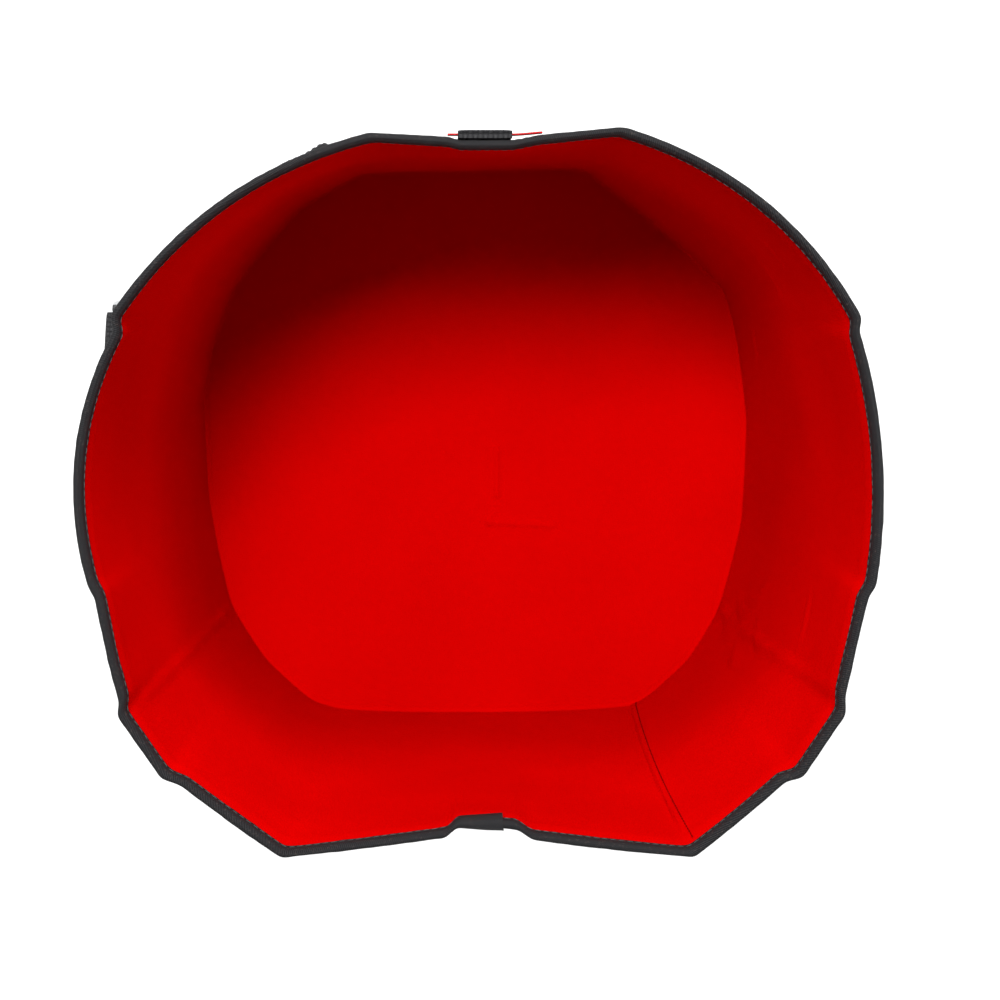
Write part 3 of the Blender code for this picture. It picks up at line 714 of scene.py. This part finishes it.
def make_lining_wall():
    z = np.concatenate([np.linspace(WALL_FOOT, BOARD_TOP, 150), np.linspace(287.0, 298.6, 5)])[:, None]
    drawn_in = np.clip((z - BOARD_TOP) / (298.6 - BOARD_TOP), 0.0, 1.0) * 1.6
    angles = ANGLES[None, :]
    inner = on_wall(angles, z, drawn_in - LAYERS - lining_relief(angles, z))
    outer = on_wall(angles, z, drawn_in - LAYERS + LINING)
    wide = np.append(ANGLES, math.tau)[None, :]
    uv = np.stack(np.broadcast_arrays(wide * 0.155, z * MM), axis=-1)
    made = shell(
        "lining_cloth_wall", inner, outer, uv, ring=True, finish=RED, slot="lining",
        stands_for=("lining_wall",),
    )

    outer = on_wall(angles, z[:150], -OUTER_CLOTH - GAP)
    inner = on_wall(angles, z[:150], -OUTER_CLOTH - GAP - BOARD)
    shell(
        "board_sheet", outer, inner, uv[:150], ring=True, finish=WHITE_BOARD, slot="board",
        stands_for=("wall_board",),
    )

    t = np.linspace(0.02, 0.965, 90)
    foot, rim, knee = SEAM
    line = np.radians(foot + (rim - foot) * t + 4.0 * (knee - (foot + rim) / 2.0) * t * (1.0 - t) + 1.0)
    height = WALL_FOOT + t * (RIM_TOP - WALL_FOOT)
    radius = wall_radius(line, height) - LAYERS - lining_relief(line, height) - 0.1
    points = np.stack([radius * np.cos(line), radius * np.sin(line), height], axis=-1)
    out = np.stack([-np.cos(line), -np.sin(line), 0.0 * line], axis=-1)
    threads = Threads(width=0.6, rise=0.2)
    threads.seam(points, out)
    threads.make("lining_seam_thread", finish=RED_THREAD, slot="lining")


def ridge(x, y, start, stop, width):
    """1 on a line from start to stop, fading within this width."""
    start, stop = np.array(start), np.array(stop)
    run = stop - start
    share = ((x - start[0]) * run[0] + (y - start[1]) * run[1]) / (run @ run)
    share = np.clip(share, 0.0, 1.0)
    away = np.hypot(x - start[0] - share * run[0], y - start[1] - share * run[1])
    return np.exp(-((away / width) ** 2))


def floor_relief(x, y):
    """Height of the floor lining over its plain level."""
    waves = 0.30 * np.sin(y / 11.0 + 0.6 * np.sin(x / 37.0)) * np.exp(-(((y + 86.0) / 36.0) ** 2))
    waves += 0.18 * np.sin(y / 17.0 + 1.3 + 0.4 * np.sin(x / 53.0)) * np.exp(-((y / 70.0) ** 2))
    waves += 0.12 * np.sin(x / 29.0 + y / 61.0)
    flap = 0.8 * ridge(x, y, (5.8, -40.9), (39.4, -42.5), 1.5)
    flap += 0.9 * ridge(x, y, (10.8, -3.1), (10.8, -27.1), 1.4)
    flap += 0.5 * ridge(x, y, (6.4, -41.0), (9.6, -35.5), 1.6)
    return 0.45 + waves + flap


def make_floor():
    share = np.concatenate([[0.0008], np.linspace(0.02, 0.965, 140), np.linspace(0.97, 1.0, 16)])[:, None]
    angles = ANGLES[None, ::2]
    edge = wall_radius(angles, 12.0) - LAYERS - 0.02
    radius = edge * share
    x, y = radius * np.cos(angles), radius * np.sin(angles)
    near = np.clip(1.0 - (edge - radius) / 3.0, 0.0, 1.0)
    turn_up = 1.6 * (1.0 - np.sqrt(1.0 - near**2))
    top = np.stack([x, y, 10.1 + floor_relief(x, y) * (1.0 - near) + turn_up], axis=-1)
    foot = np.stack([x, y, 0.0 * x + 8.6], axis=-1)
    uv_x = np.concatenate([x, x[:, :1]], axis=1)
    uv_y = np.concatenate([y, y[:, :1]], axis=1)
    uv = np.stack([uv_x, uv_y], axis=-1) * MM
    made = shell(
        "lining_cloth_floor", top, foot, uv, ring=True, finish=RED, slot="lining",
        stands_for=("lining_floor",),
    )
    edge = edge - 1.2
    coarse = np.array([0.0008, 0.25, 0.5, 0.75, 0.99, 1.0])[:, None]
    x, y = edge * coarse * np.cos(angles), edge * coarse * np.sin(angles)
    dip = np.array([0.0, 0.0, 0.0, 0.0, 0.0, 0.4])[:, None]
    top = np.stack([x, y, 8.3 - dip + 0.0 * x], axis=-1)
    foot = np.stack([x, y, 5.3 + 0.0 * x], axis=-1)
    uv = np.stack([np.hstack([x, x[:, :1]]), np.hstack([y, y[:, :1]])], axis=-1) * MM
    shell(
        "floor_panel", top, foot, uv, ring=True, finish=WHITE_BOARD, slot="board",
        stands_for=("floor_board",),
    )


# ---- outside: base, cloth and rim tape ----------------------------------------------------------


def make_base():
    out = BASE_GAP + BASE_WALL
    profile = (
        (0.38, 0.0, 0.0),
        (0.40, 0.0, 0.9),
        (0.42, 0.0, 2.5),
        (0.84, 0.0, 2.5),
        (0.855, 0.0, 0.9),
        (0.87, 0.0, 0.0),
        (1.0, -2.4, 0.0),
        (1.0, out - 1.6, 0.7),
        (1.0, out - 0.5, 2.4),
        (1.0, out - 0.1, 5.0),
        (1.0, out - 0.1, 11.0),
        (1.0, out - 0.9, 11.8),
        (1.0, out - 0.9, 13.6),
        (1.0, out - 0.1, 14.4),
        (1.0, out, 33.0),
        (1.0, out + 0.9, 34.4),
        (1.0, out + 1.3, 36.6),
        (1.0, out + 1.3, BASE_HEIGHT - 1.8),
        (1.0, out + 0.5, BASE_HEIGHT - 0.3),
        (1.0, out - 0.8, BASE_HEIGHT),
        (1.0, BASE_GAP + 0.4, BASE_HEIGHT),
        (1.0, BASE_GAP, BASE_HEIGHT - 0.8),
        (1.0, BASE_GAP, BASE_FLOOR + 0.6),
        (1.0, BASE_GAP - 0.6, BASE_FLOOR),
        (0.5, 0.0, BASE_FLOOR),
        (0.0008, 0.0, BASE_FLOOR),
    )
    scale, away, z = (np.array(column)[:, None] for column in zip(*profile))
    angles = ANGLES[None, :]
    rib = 0.45 * np.clip(np.cos(angles * 90.0) * 3.0, -1.0, 1.0) * ((z > 15.0) & (z < 34.0))
    rib = rib * (away > 2.0)
    radius = (wall_radius(angles, np.maximum(z, WALL_FOOT)) + away + rib) * scale
    rings = np.stack([radius * np.cos(angles), radius * np.sin(angles), z + 0.0 * radius], axis=-1)
    centre = np.array([[0.0, 0.0, 0.0]] * ROUND)[None]
    rings = np.concatenate([rings[:1] * (0.002, 0.002, 1.0) + centre, rings])
    tube("base_moulding", rings, finish=RUBBER, slot="rubber", stands_for=("base_tub",))


def pocket_span(side, first, last):
    """First and last angle of a pocket, in radians, from its angles off the front."""
    span = (first - 90.0, last - 90.0) if side == "right" else (270.0 - last, 270.0 - first)
    return math.radians(span[0]), math.radians(span[1])


def make_outer_wall():
    z = np.linspace(WALL_FOOT, 298.6, 100)[:, None]
    angles = ANGLES[None, :]
    ripple = 0.25 * np.sin(31.0 * angles + 0.05 * z) * np.sin(z / 9.0 + 7.0 * angles)
    ripple = ripple * np.clip((z - 46.0) / 20.0, 0.0, 1.0) * np.clip((284.0 - z) / 10.0, 0.0, 1.0)
    outer = on_wall(angles, z, np.minimum(ripple, 0.15))
    inner = on_wall(angles, z, -OUTER_CLOTH)
    uv = np.stack(np.broadcast_arrays(np.append(ANGLES, math.tau)[None, :] * 0.16, z * MM), axis=-1)
    made = shell(
        "outer_cloth_wall", outer, inner, uv, ring=True, finish=CLOTH, slot="cloth",
        stands_for=("outer_wall",),
    )


def tape_section(lift_out, lift_in, lift_up):
    """(away, z) round the cut of the rim tape, folded over the edge of the wall."""
    out = GAP + TAPE + lift_out
    inner = -OUTER_CLOTH - GAP - LINING - GAP - TAPE - lift_in
    top = RIM_TOP + lift_up
    outside = [
        (out - 0.25, 286.2),
        (out, 286.8),
        (out, 291.0),
        (out, 296.6),
        (out - 0.12, 298.3),
        (out - 0.6, 299.4),
        (out - 1.3, 299.85 + lift_up),
        ((out + inner) / 2.0 + 0.35, top + 0.12),
        ((out + inner) / 2.0 - 0.35, top + 0.12),
        (inner + 1.3, 299.8 + lift_up),
        (inner + 0.6, 299.2),
        (inner + 0.08, 298.2),
        (inner, 297.2),
        (inner - 0.1, 295.6),
        (inner - 0.3, 293.4),
        (inner - 0.1, 293.0),
    ]
    inside = [
        (inner - 0.3 + TAPE, 293.2),
        (inner + TAPE - 0.1, 295.0),
        (inner + TAPE, 297.4),
        (inner + TAPE + 0.6, 299.0),
        (out - TAPE - 0.6, 299.1),
        (out - TAPE, 297.6),
        (out - TAPE, 287.0),
        (out - TAPE + 0.1, 286.3),
    ]
    return outside + inside


def tape_rings(angles, lift_out, lift_in, lift_up):
    rings = []
    for angle, outward, inward, upward in zip(angles, lift_out, lift_in, lift_up):
        away, z = np.array(tape_section(outward, inward, upward)).T
        rings.append(on_wall(angle, z, away))
    return np.array(rings)


def make_binding():
    pucker = soften(rng.normal(0.0, 1.0, ROUND), 4)
    pucker = 0.22 * pucker / np.abs(pucker).max()
    rise = soften(rng.normal(0.0, 1.0, ROUND), 10)
    rise = 0.14 * rise / np.abs(rise).max()
    rings = tape_rings(ANGLES, np.maximum(pucker, -0.1), pucker + 0.1, rise)
    tube(
        "rim_tape", rings, closed=True, finish=TAPE_GREY, slot="tape", stands_for=("rim_binding",)
    )

    first, last = math.atan2(-142.0, -12.0), math.atan2(-140.5, 9.8)
    angles = np.linspace(first, last, 40)
    t = np.linspace(0.0, 1.0, 40)
    grow = np.clip(t * 1.5, 0.0, 1.0)
    rings = tape_rings(angles, 0.15 + 0.75 * grow, 0.15 + 2.0 * t, 0.15 + 0.75 * grow)
    tube("rim_tape_lap", rings, finish=TAPE_GREY, slot="tape")

    threads = Threads(pitch=3.6, length=2.6, width=0.55, rise=0.1)
    radial = np.stack([np.cos(ANGLES), np.sin(ANGLES), 0.0 * ANGLES], axis=-1)
    outside = on_wall(ANGLES, 288.9, GAP + TAPE + 0.02)
    inside = on_wall(ANGLES, 295.0, -OUTER_CLOTH - 2.0 * GAP - LINING - TAPE - 0.3)
    threads.seam(np.concatenate([outside, outside[:1]]), np.concatenate([radial, radial[:1]]))
    threads.seam(np.concatenate([inside, inside[:1]]), -np.concatenate([radial, radial[:1]]))
    threads.make("rim_thread", finish=DARK_THREAD, slot="tape")


# ---- pockets ------------------------------------------------------------------------------------


def fullness(place, width):
    """How far a pocket stands off at each place across it: flat flanges, then folded sides."""
    edge = np.minimum(place, width - place)
    rise = np.clip((edge - FLANGE) / GUSSET, 0.0, 1.0)
    rise = rise**0.8 * (2.0 - rise) / (1.0 + 0.0 * rise)
    rise = np.minimum(rise, 1.0)
    crown = np.sin(math.pi * np.clip(place / width, 0.0, 1.0))
    return rise * (0.94 + 0.09 * crown)


def make_pocket(name, first, last, mouth, depth, threads):
    radius = float(wall_radius((first + last) / 2.0, mouth))
    width = (last - first) * radius
    columns = max(24, int(width / 1.6))
    place = np.linspace(0.0, width, columns)
    angles = first + place / radius
    full = fullness(place, width)
    dip = 3.0 * np.sin(math.pi * place / width) ** 2
    top = mouth - dip
    v = np.linspace(0.0, 1.0, 60)[:, None]
    z = POCKET_FOOT + (top - POCKET_FOOT)[None, :] * v
    share = 0.96 * (1.0 - np.exp(-(z - POCKET_FOOT) / 4.5)) + 0.04 * v
    slack = np.sin(angles * 47.0 + z / 13.0) * np.sin(z / 21.0 + angles * 11.0)
    away = POCKET_GAP + depth * share * full[None, :] + 0.55 * slack * full[None, :] * share
    tuck = np.exp(-(((z - POCKET_FOOT - 9.0) / 5.0) ** 2)) * np.sin(angles * 95.0) * 0.7
    away = away + tuck * full[None, :]
    inner = on_wall(angles[None, :], z, away)
    outer = on_wall(angles[None, :], z, away + POCKET_CLOTH)
    uv = np.stack(np.broadcast_arrays(place[None, :] * MM, z * MM), axis=-1)
    edge = np.minimum(place, width - place)
    ends = np.exp(-((edge - FLANGE - GUSSET - 1.0) ** 2) / 6.0)[None, :] * 0.9
    wear = np.maximum(ends + 0.0 * z, np.exp(-(z - POCKET_FOOT) / 7.0))
    shell(name + "_cloth", outer, inner, uv, wear=wear, finish=POCKET, slot="cloth",
          stands_for=(name,))

    angle = math.tau * np.arange(12) / 12.0
    away = POCKET_GAP + POCKET_CLOTH / 2.0 + (away[-1] - POCKET_GAP)
    ring_away = away[:, None] + 1.55 * np.cos(angle)[None, :]
    ring_z = (top - 0.6)[:, None] + 3.4 * np.sin(angle)[None, :] * (0.6 + 0.4 * np.abs(np.sin(angle)))
    rings = on_wall(angles[:, None], ring_z, np.maximum(ring_away, 0.12))
    tube(name + "_tape", rings, finish=TAPE_GREY, slot="tape", stands_for=(name + "_binding",))

    out = np.stack([np.cos(angles), np.sin(angles), 0.0 * angles], axis=-1)
    threads.seam(on_wall(angles, top - 2.2, away + 1.62), out)
    low = outer[6:9, :].mean(axis=0)
    threads.seam(low[4:-4] + out[4:-4] * 0.1, out[4:-4])
    for column in (int(columns * 2.0 / width) + 1, columns - 2 - int(columns * 2.0 / width)):
        line = outer[1:-2, column] + out[column] * 0.1
        threads.seam(line, out[column])
    for column in (2, columns - 3):
        for drop in (5.5, 6.6, 7.7, 8.8):
            ends = on_wall(angles[column] + np.array((-1.9, 0.0, 1.9)) / radius, mouth - drop, 2.15)
            threads.seam(smooth_path(ends, 4), out[column])


def make_pockets():
    for side in ("left", "right"):
        threads = Threads(pitch=3.3, length=2.4, width=0.75, rise=0.24)
        for kind, first, last, mouth, depth in POCKETS:
            start, stop = pocket_span(side, first, last)
            make_pocket(f"{kind}_{side}", start, stop, mouth, depth, threads)
        threads.make(f"pocket_thread_{side}", finish=DARK_THREAD, slot="tape")


# ---- webs ---------------------------------------------------------------------------------------


def bar_tack(threads, centre, side, along, out, width):
    """A block of close stitches across a web."""
    for k in range(4):
        middle = centre + along * (k - 1.5) * 0.8
        line = np.array([middle + side * s * width / 2.0 for s in (-1.0, -0.5, 0.0, 0.5, 1.0)])
        threads.seam(line, out)


def make_front_web():
    path = []
    for loop in range(FRONT_WEB_LOOPS):
        foot = FRONT_WEB_FOOT + loop * FRONT_WEB_PITCH
        path.append((0.0, foot))
        for k in range(7):
            t = k / 6.0
            lift = FRONT_WEB_ARCH[loop] * math.sin(math.pi * t) ** 0.7
            path.append((lift, foot + 6.0 + t * (FRONT_WEB_PITCH - 8.0)))
    path.append((0.0, FRONT_WEB_FOOT + FRONT_WEB_LOOPS * FRONT_WEB_PITCH + 4.0))
    lift, z = smooth_path(path, 5).T
    lift = np.maximum(lift, 0.0)
    front = math.radians(270.0)
    behind = np.max([wall_radius(front + turn, z) for turn in (-0.06, -0.03, 0.0, 0.04, 0.09)], axis=0)
    stand = behind + 0.3 + WEB / 2.0
    centre = np.stack([0.0 * z + FRONT_WEB_X, -(stand + lift), z], axis=-1)
    rings = web_rings(centre, (1.0, 0.0, 0.0), WEB_WIDTH, WEB)
    tube("front_web_loops", rings, finish=BLACK_WEB, slot="web", stands_for=("front_web",))
    threads = Threads(pitch=2.6, length=2.3, width=0.7, rise=0.2)
    side, up, out = np.array((1.0, 0, 0)), np.array((0, 0, 1.0)), np.array((0, -1.0, 0))
    for loop in range(FRONT_WEB_LOOPS + 1):
        height = FRONT_WEB_FOOT + loop * FRONT_WEB_PITCH + (2.6 if loop < FRONT_WEB_LOOPS else 0.5)
        depth = np.interp(height, z, centre[:, 1]) - WEB / 2.0 - 0.1
        bar_tack(threads, np.array((FRONT_WEB_X, depth, height)), side, up, out, 21.0)
    threads.make("front_web_thread", finish=DARK_THREAD, slot="web")


def handle_frame(side):
    """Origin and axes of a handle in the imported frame, in millimetres, with half its span."""
    joint = next(j for j in frame["record"]["behaviour"]["joints"] if j["child"] == f"handle_{side}")
    origin = np.array(joint["pos_m"]) / MM
    up = np.array((0.0, 0.0, 1.0))
    along = unit(np.array(joint["axis"]))
    outward = np.cross(up, along)
    if outward @ origin < 0.0:
        outward = -outward
    along = np.cross(outward, up)
    middles = []
    for end in ("front", "back"):
        low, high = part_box(f"handle_ring_{side}_{end}")
        middles.append((np.array(low) + np.array(high)) / 2.0 / MM @ along)
    return origin, np.stack([along, outward, up]), abs(middles[0] - middles[1]) / 2.0


def wall_behind(place, x, z):
    """Local y of the outer cloth behind a point of the handle's frame."""
    origin, axes, _ = place
    low, high = -40.0, 20.0
    for _ in range(24):
        y = (low + high) / 2.0
        point = origin + np.array((x, y, z)) @ axes
        if np.hypot(*point[:2]) > wall_radius(math.atan2(point[1], point[0]), point[2]):
            high = y
        else:
            low = y
    return (low + high) / 2.0


def place_rings(place, rings):
    origin, axes, _ = place
    return origin + rings @ axes


def make_tab(name, place, x, threads):
    """A web sewn down the wall whose upper end holds the ring."""
    bend = RING_WIRE + 0.6 + WEB / 2.0
    across = [x + WEB_WIDTH * k / 8.0 for k in range(-4, 5)]
    over = [(bend * math.cos(a), bend * math.sin(a)) for a in np.radians(200.0 - 15.0 * np.arange(15))]
    tail = []
    for depth in (12.0, TAB_LENGTH / 2.0, TAB_LENGTH * 0.75, TAB_LENGTH):
        near = max(wall_behind(place, spot, -depth) for spot in across)
        tail.append((near + 0.4 + WEB / 2.0, -depth))
    front = smooth_path([over[-1]] + [(y + WEB + 0.15, z) for y, z in tail], 6)
    back = smooth_path(tail[::-1] + [over[0]], 6)
    path = np.concatenate([over[1:-1], front, back])
    centre = np.stack([np.full(len(path), x), path[:, 0], path[:, 1]], axis=-1)
    rings = web_rings(centre, (1.0, 0.0, 0.0), WEB_WIDTH, WEB, closed=True)
    tube(name + "_web", place_rings(place, rings), closed=True, finish=BLACK_WEB, slot="web",
         stands_for=(name,))
    facing = front[:, 0] + WEB / 2.0 + 0.1
    out = np.array((0.0, 1.0, 0.0)) @ place[1]
    rows = []
    for edge in (-1.0, 1.0):
        z = np.linspace(-18.0, 3.0 - TAB_LENGTH, 12)
        y = np.interp(-z, -front[:, 1], facing)
        rows.append(np.stack([x + edge * (WEB_WIDTH / 2.0 - 2.6) + 0.0 * z, y, z], axis=-1))
    for start, stop in (((-1, -18), (1, -18)), ((-1, -49), (1, -49)), ((-1, -18), (1, -49)), ((1, -18), (-1, -49))):
        t = np.linspace(0.0, 1.0, 12)
        z = start[1] + (stop[1] - start[1]) * t
        spot = x + (start[0] + (stop[0] - start[0]) * t) * (WEB_WIDTH / 2.0 - 2.6)
        rows.append(np.stack([spot, np.interp(-z, -front[:, 1], facing), z], axis=-1))
    for row in rows:
        threads.seam(place_rings(place, row), out)


def strap_stations(half_span):
    """Centre, half width and half thickness of the handle strap, from one ring to the other."""
    start = -RING_HEIGHT - 9.0
    bend_x = half_span - GRIP_HALF_LENGTH - 5.0
    bend_z = HANDLE_DROP - RING_HEIGHT - 9.0
    stations = [(-half_span, 0.1, -RING_HEIGHT - 4.5, 12.3, 1.7), (-half_span, 0.6, start, 12.3, 2.2)]
    for k in range(1, 7):
        share = k / 6.0
        turn = math.radians(90.0 * share)
        x = -half_span + bend_x * (1.0 - math.cos(turn))
        y = 0.6 + (HANDLE_REACH - 0.6) * math.sin(turn)
        z = start - bend_z * math.sin(turn)
        stations.append((x, y, z, 12.3 - 5.3 * share, 2.2 + 2.8 * share))
    for x in (-GRIP_HALF_LENGTH, -0.6 * GRIP_HALF_LENGTH, 0.0):
        stations.append((x, HANDLE_REACH, -HANDLE_DROP, 7.0, 5.0))
    return np.array(stations + [(-x, y, z, w, t) for x, y, z, w, t in stations[-2::-1]])


def oval_rings(stations, squareness, sides=28):
    """Cuts across a strap whose flat side faces local y."""
    centre = stations[:, :3]
    along = unit(np.gradient(centre, axis=0))
    side = unit(np.cross(along, (0.0, 1.0, 0.0)))
    out = unit(np.cross(side, along))
    angle = math.tau * (np.arange(sides) + 0.5) / sides
    wide, thick = np.cos(angle), np.sin(angle)
    squared = (np.abs(wide) ** squareness + np.abs(thick) ** squareness) ** (-1.0 / squareness)
    return (
        centre[:, None, :]
        + side[:, None, :] * (wide * squared)[None, :, None] * stations[:, 3][:, None, None]
        + out[:, None, :] * (thick * squared)[None, :, None] * stations[:, 4][:, None, None]
    )


def make_strap(side, place):
    """The web between the two rings, with the loop at each end that goes round its ring."""
    half_span = place[2]
    stations = smooth_path(strap_stations(half_span), 8)
    rings = oval_rings(stations, 4.0)
    body = f"handle_{side}"
    strap = tube(f"handle_web_{side}", place_rings(place, rings), finish=BLACK_WEB, slot="web",
                 body=body, stands_for=(f"handle_strap_{side}",))
    bend = RING_WIRE + 0.25 + WEB / 2.0
    threads = Threads(pitch=3.0, length=2.3, width=0.7, rise=0.2)
    for end, x in (("a", -half_span), ("b", half_span)):
        arc = np.radians(-20.0 + 20.0 * np.arange(12))
        path = [(bend * math.cos(a), -RING_HEIGHT + bend * math.sin(a)) for a in arc]
        path = [(1.0, -30.0), (1.3, -26.5)] + path + [(-1.1, -26.5), (-0.8, -30.0)]
        path = smooth_path(path, 3)
        centre = np.stack([np.full(len(path), x), path[:, 0], path[:, 1]], axis=-1)
        rings = web_rings(centre, (1.0, 0.0, 0.0), WEB_WIDTH - 0.6, WEB)
        tube(f"handle_web_{side}_loop_{end}", place_rings(place, rings), finish=BLACK_WEB, slot="web",
             body=body)
        for face in (-1.0, 1.0):
            for drop in (-31.5, -33.0, -34.5):
                spot = x + np.linspace(-9.5, 9.5, 6)
                line = np.stack([spot, 0.75 + face * 2.3 + 0.0 * spot, drop + 0.0 * spot], axis=-1)
                threads.seam(place_rings(place, line), np.array((0.0, face, 0.0)) @ place[1])
    threads.make(f"handle_thread_{side}", finish=DARK_THREAD, slot="web", body=body)
    return strap


def make_grip(side, place):
    """A padded sleeve round the middle of the strap, with shallow finger ribs."""
    x = np.concatenate([
        [-GRIP_HALF_LENGTH + 0.4],
        np.linspace(-GRIP_HALF_LENGTH, GRIP_HALF_LENGTH, 90),
        [GRIP_HALF_LENGTH - 0.4],
    ])
    end = np.clip((GRIP_HALF_LENGTH - np.abs(x)) / 3.0, 0.0, 1.0)
    round_end = np.sqrt(1.0 - (1.0 - end) ** 2)
    swell = 2.0 * (1.0 - (x / GRIP_HALF_LENGTH) ** 2)
    ribs = 0.45 * np.cos(x * math.tau / 6.2) * end
    size = 1.2 + 3.0 * round_end + swell + ribs
    size[[0, -1]] = 0.7
    still = np.ones_like(x)
    outer = np.stack([x, still * HANDLE_REACH, -still * HANDLE_DROP, 7.0 + size, 5.0 + size * 1.15], axis=-1)
    inside = outer[::-1].copy()
    inside[:, 3], inside[:, 4] = 7.3, 5.3
    rings = np.concatenate([oval_rings(outer, 2.6), oval_rings(inside, 4.0)[:, ::-1][:, ::-1]])
    back = oval_rings(np.stack([x, still * HANDLE_REACH, -still * HANDLE_DROP, still * 7.3, still * 5.3], axis=-1), 4.0)
    rings = np.concatenate([rings[: len(x)], back[::-1]])
    grip = tube(f"handle_pad_{side}", place_rings(place, rings), closed=True, finish=GRIP, slot="grip",
                body=f"handle_{side}", stands_for=(f"handle_grip_{side}",))


def make_handles():
    for side in ("left", "right"):
        place = handle_frame(side)
        make_strap(side, place)
        make_grip(side, place)
        threads = Threads(pitch=3.0, length=2.3, width=0.7, rise=0.2)
        ends = (-1.0, 1.0) if side == "left" else (1.0, -1.0)
        for end, sign in zip(("front", "back"), ends):
            make_tab(f"handle_tab_{side}_{end}", place, sign * place[2], threads)
            ring = frame["nodes"][f"handle_ring_{side}_{end}"]
            for slot in ring.material_slots:
                slot.material = STEEL
        threads.make(f"handle_tab_thread_{side}", finish=DARK_THREAD, slot="web")


def make_back():
    """The red strap across the recess at the back, and the black web folded over it."""
    route = smooth_path(BACK_STRAP_ROUTE, 10)
    middle = BACK_STRAP_TOP - BACK_STRAP_HEIGHT / 2.0
    centre = np.stack([route[:, 0], route[:, 1], 0.0 * route[:, 0] + middle], axis=-1)
    rings = web_rings(centre, (0.0, 0.0, 1.0), BACK_STRAP_HEIGHT, BACK_STRAP)
    tube("back_red_web", rings, finish=RED_WEB, slot="red_web", stands_for=("back_strap",))

    y = BACK_STRAP_ROUTE[1][1]
    half = (BACK_STRAP + BACK_WEB) / 2.0 + 0.2
    shut = (BACK_WEB + 0.3) / 2.0
    below = BACK_STRAP_TOP - BACK_STRAP_HEIGHT - 6.0
    foot = BACK_LOOP_TOP - BACK_LOOP_LENGTH
    path = [
        (y - half, below + 5.0),
        (y - half, BACK_LOOP_TOP - 1.6),
        (y - half + 0.7, BACK_LOOP_TOP - BACK_WEB / 2.0),
        (y + half - 0.7, BACK_LOOP_TOP - BACK_WEB / 2.0),
        (y + half, BACK_LOOP_TOP - 1.6),
        (y + half, below + 5.0),
        (y - 0.4 + shut, below),
        (y - 1.6 + shut, foot),
        (y - 1.6 - shut, foot),
        (y - 0.4 - shut, below),
    ]
    y, z = smooth_path(path, 5, closed=True).T
    centre = np.stack([0.0 * y + BACK_X, y, z], axis=-1)
    rings = web_rings(centre, (1.0, 0.0, 0.0), BACK_WEB_WIDTH, BACK_WEB, closed=True)
    tube("back_black_web", rings, closed=True, finish=BLACK_WEB, slot="web", stands_for=("back_loop",))
    threads = Threads(pitch=2.6, length=2.3, width=0.7, rise=0.2)
    side, up, out = np.array((1.0, 0, 0)), np.array((0, 0, 1.0)), np.array((0, 1.0, 0))
    for height in (below - 2.0, foot + 5.0):
        depth = y[(z < height + 6.0) & (z > height - 6.0)].max() + BACK_WEB / 2.0 + 0.1
        bar_tack(threads, np.array((BACK_X, depth, height)), side, up, out, 19.0)
    threads.make("back_thread", finish=DARK_THREAD, slot="web")


# ---- floor, camera and light --------------------------------------------------------------------


def make_stage():
    white = Finish("studio_floor", 0.9, specular=0.0)
    white.colour((0.25, 0.25, 0.25, 1.0))
    white.shader.inputs["Emission Color"].default_value = (1.0, 1.0, 1.0, 1.0)
    white.shader.inputs["Emission Strength"].default_value = 1.0
    mesh = bpy.data.meshes.new("studio_floor")
    size = 6.0
    corners = [(-size, -size, -0.0005), (size, -size, -0.0005), (size, size, -0.0005), (-size, size, -0.0005)]
    mesh.from_pydata(corners, [], [(0, 1, 2, 3)])
    mesh.materials.append(white.material)
    floor = bpy.data.objects.new("studio_floor", mesh)
    bpy.context.scene.collection.objects.link(floor)


def area_light(name, place, aim, width, height, power):
    lamp = bpy.data.lights.new(name, "AREA")
    lamp.shape = "RECTANGLE"
    lamp.size, lamp.size_y = width, height
    lamp.energy = power
    made = bpy.data.objects.new(name, lamp)
    made.location = place
    made.rotation_euler = (Vector(aim) - Vector(place)).to_track_quat("-Z", "Y").to_euler()
    made.visible_camera = False
    bpy.context.scene.collection.objects.link(made)


def make_light():
    area_light("key", (-0.24, 0.70, 2.05), (0.0, 0.0, 0.05), 0.50, 0.45, 54.0)
    for name, x, y, z, power in SIDE_LIGHTS:
        area_light(name, (x, y, z), (0.0, 0.0, 0.2), 1.1, 0.6, power)
    world = bpy.data.worlds.new("studio")
    world.use_nodes = True
    world.node_tree.nodes["Background"].inputs["Color"].default_value = (1.0, 1.0, 1.0, 1.0)
    world.node_tree.nodes["Background"].inputs["Strength"].default_value = 0.02
    bpy.context.scene.world = world
    bpy.context.scene.view_settings.view_transform = "Standard"


def make_camera():
    camera = bpy.data.cameras.new("camera")
    camera.sensor_width = 36.0
    camera.lens = 117.1
    made = bpy.data.objects.new("camera", camera)
    place = Vector((-0.01087, 0.13191, 1.65726))
    aim = Vector((0.00828, -0.00119, 0.300))
    ahead = (aim - place).normalized()
    right = ahead.cross(Vector((0.0, 1.0, 0.0))).normalized()
    up = right.cross(ahead)
    turn = [[right[k], up[k], -ahead[k], place[k]] for k in range(3)] + [[0.0, 0.0, 0.0, 1.0]]
    bpy.context.scene.collection.objects.link(made)
    made.matrix_world = Matrix(turn)
    bpy.context.scene.camera = made


make_stage()
make_camera()
make_light()
make_floor()
make_lining_wall()
make_base()
make_outer_wall()
make_binding()
make_pockets()
make_front_web()
make_handles()
make_back()
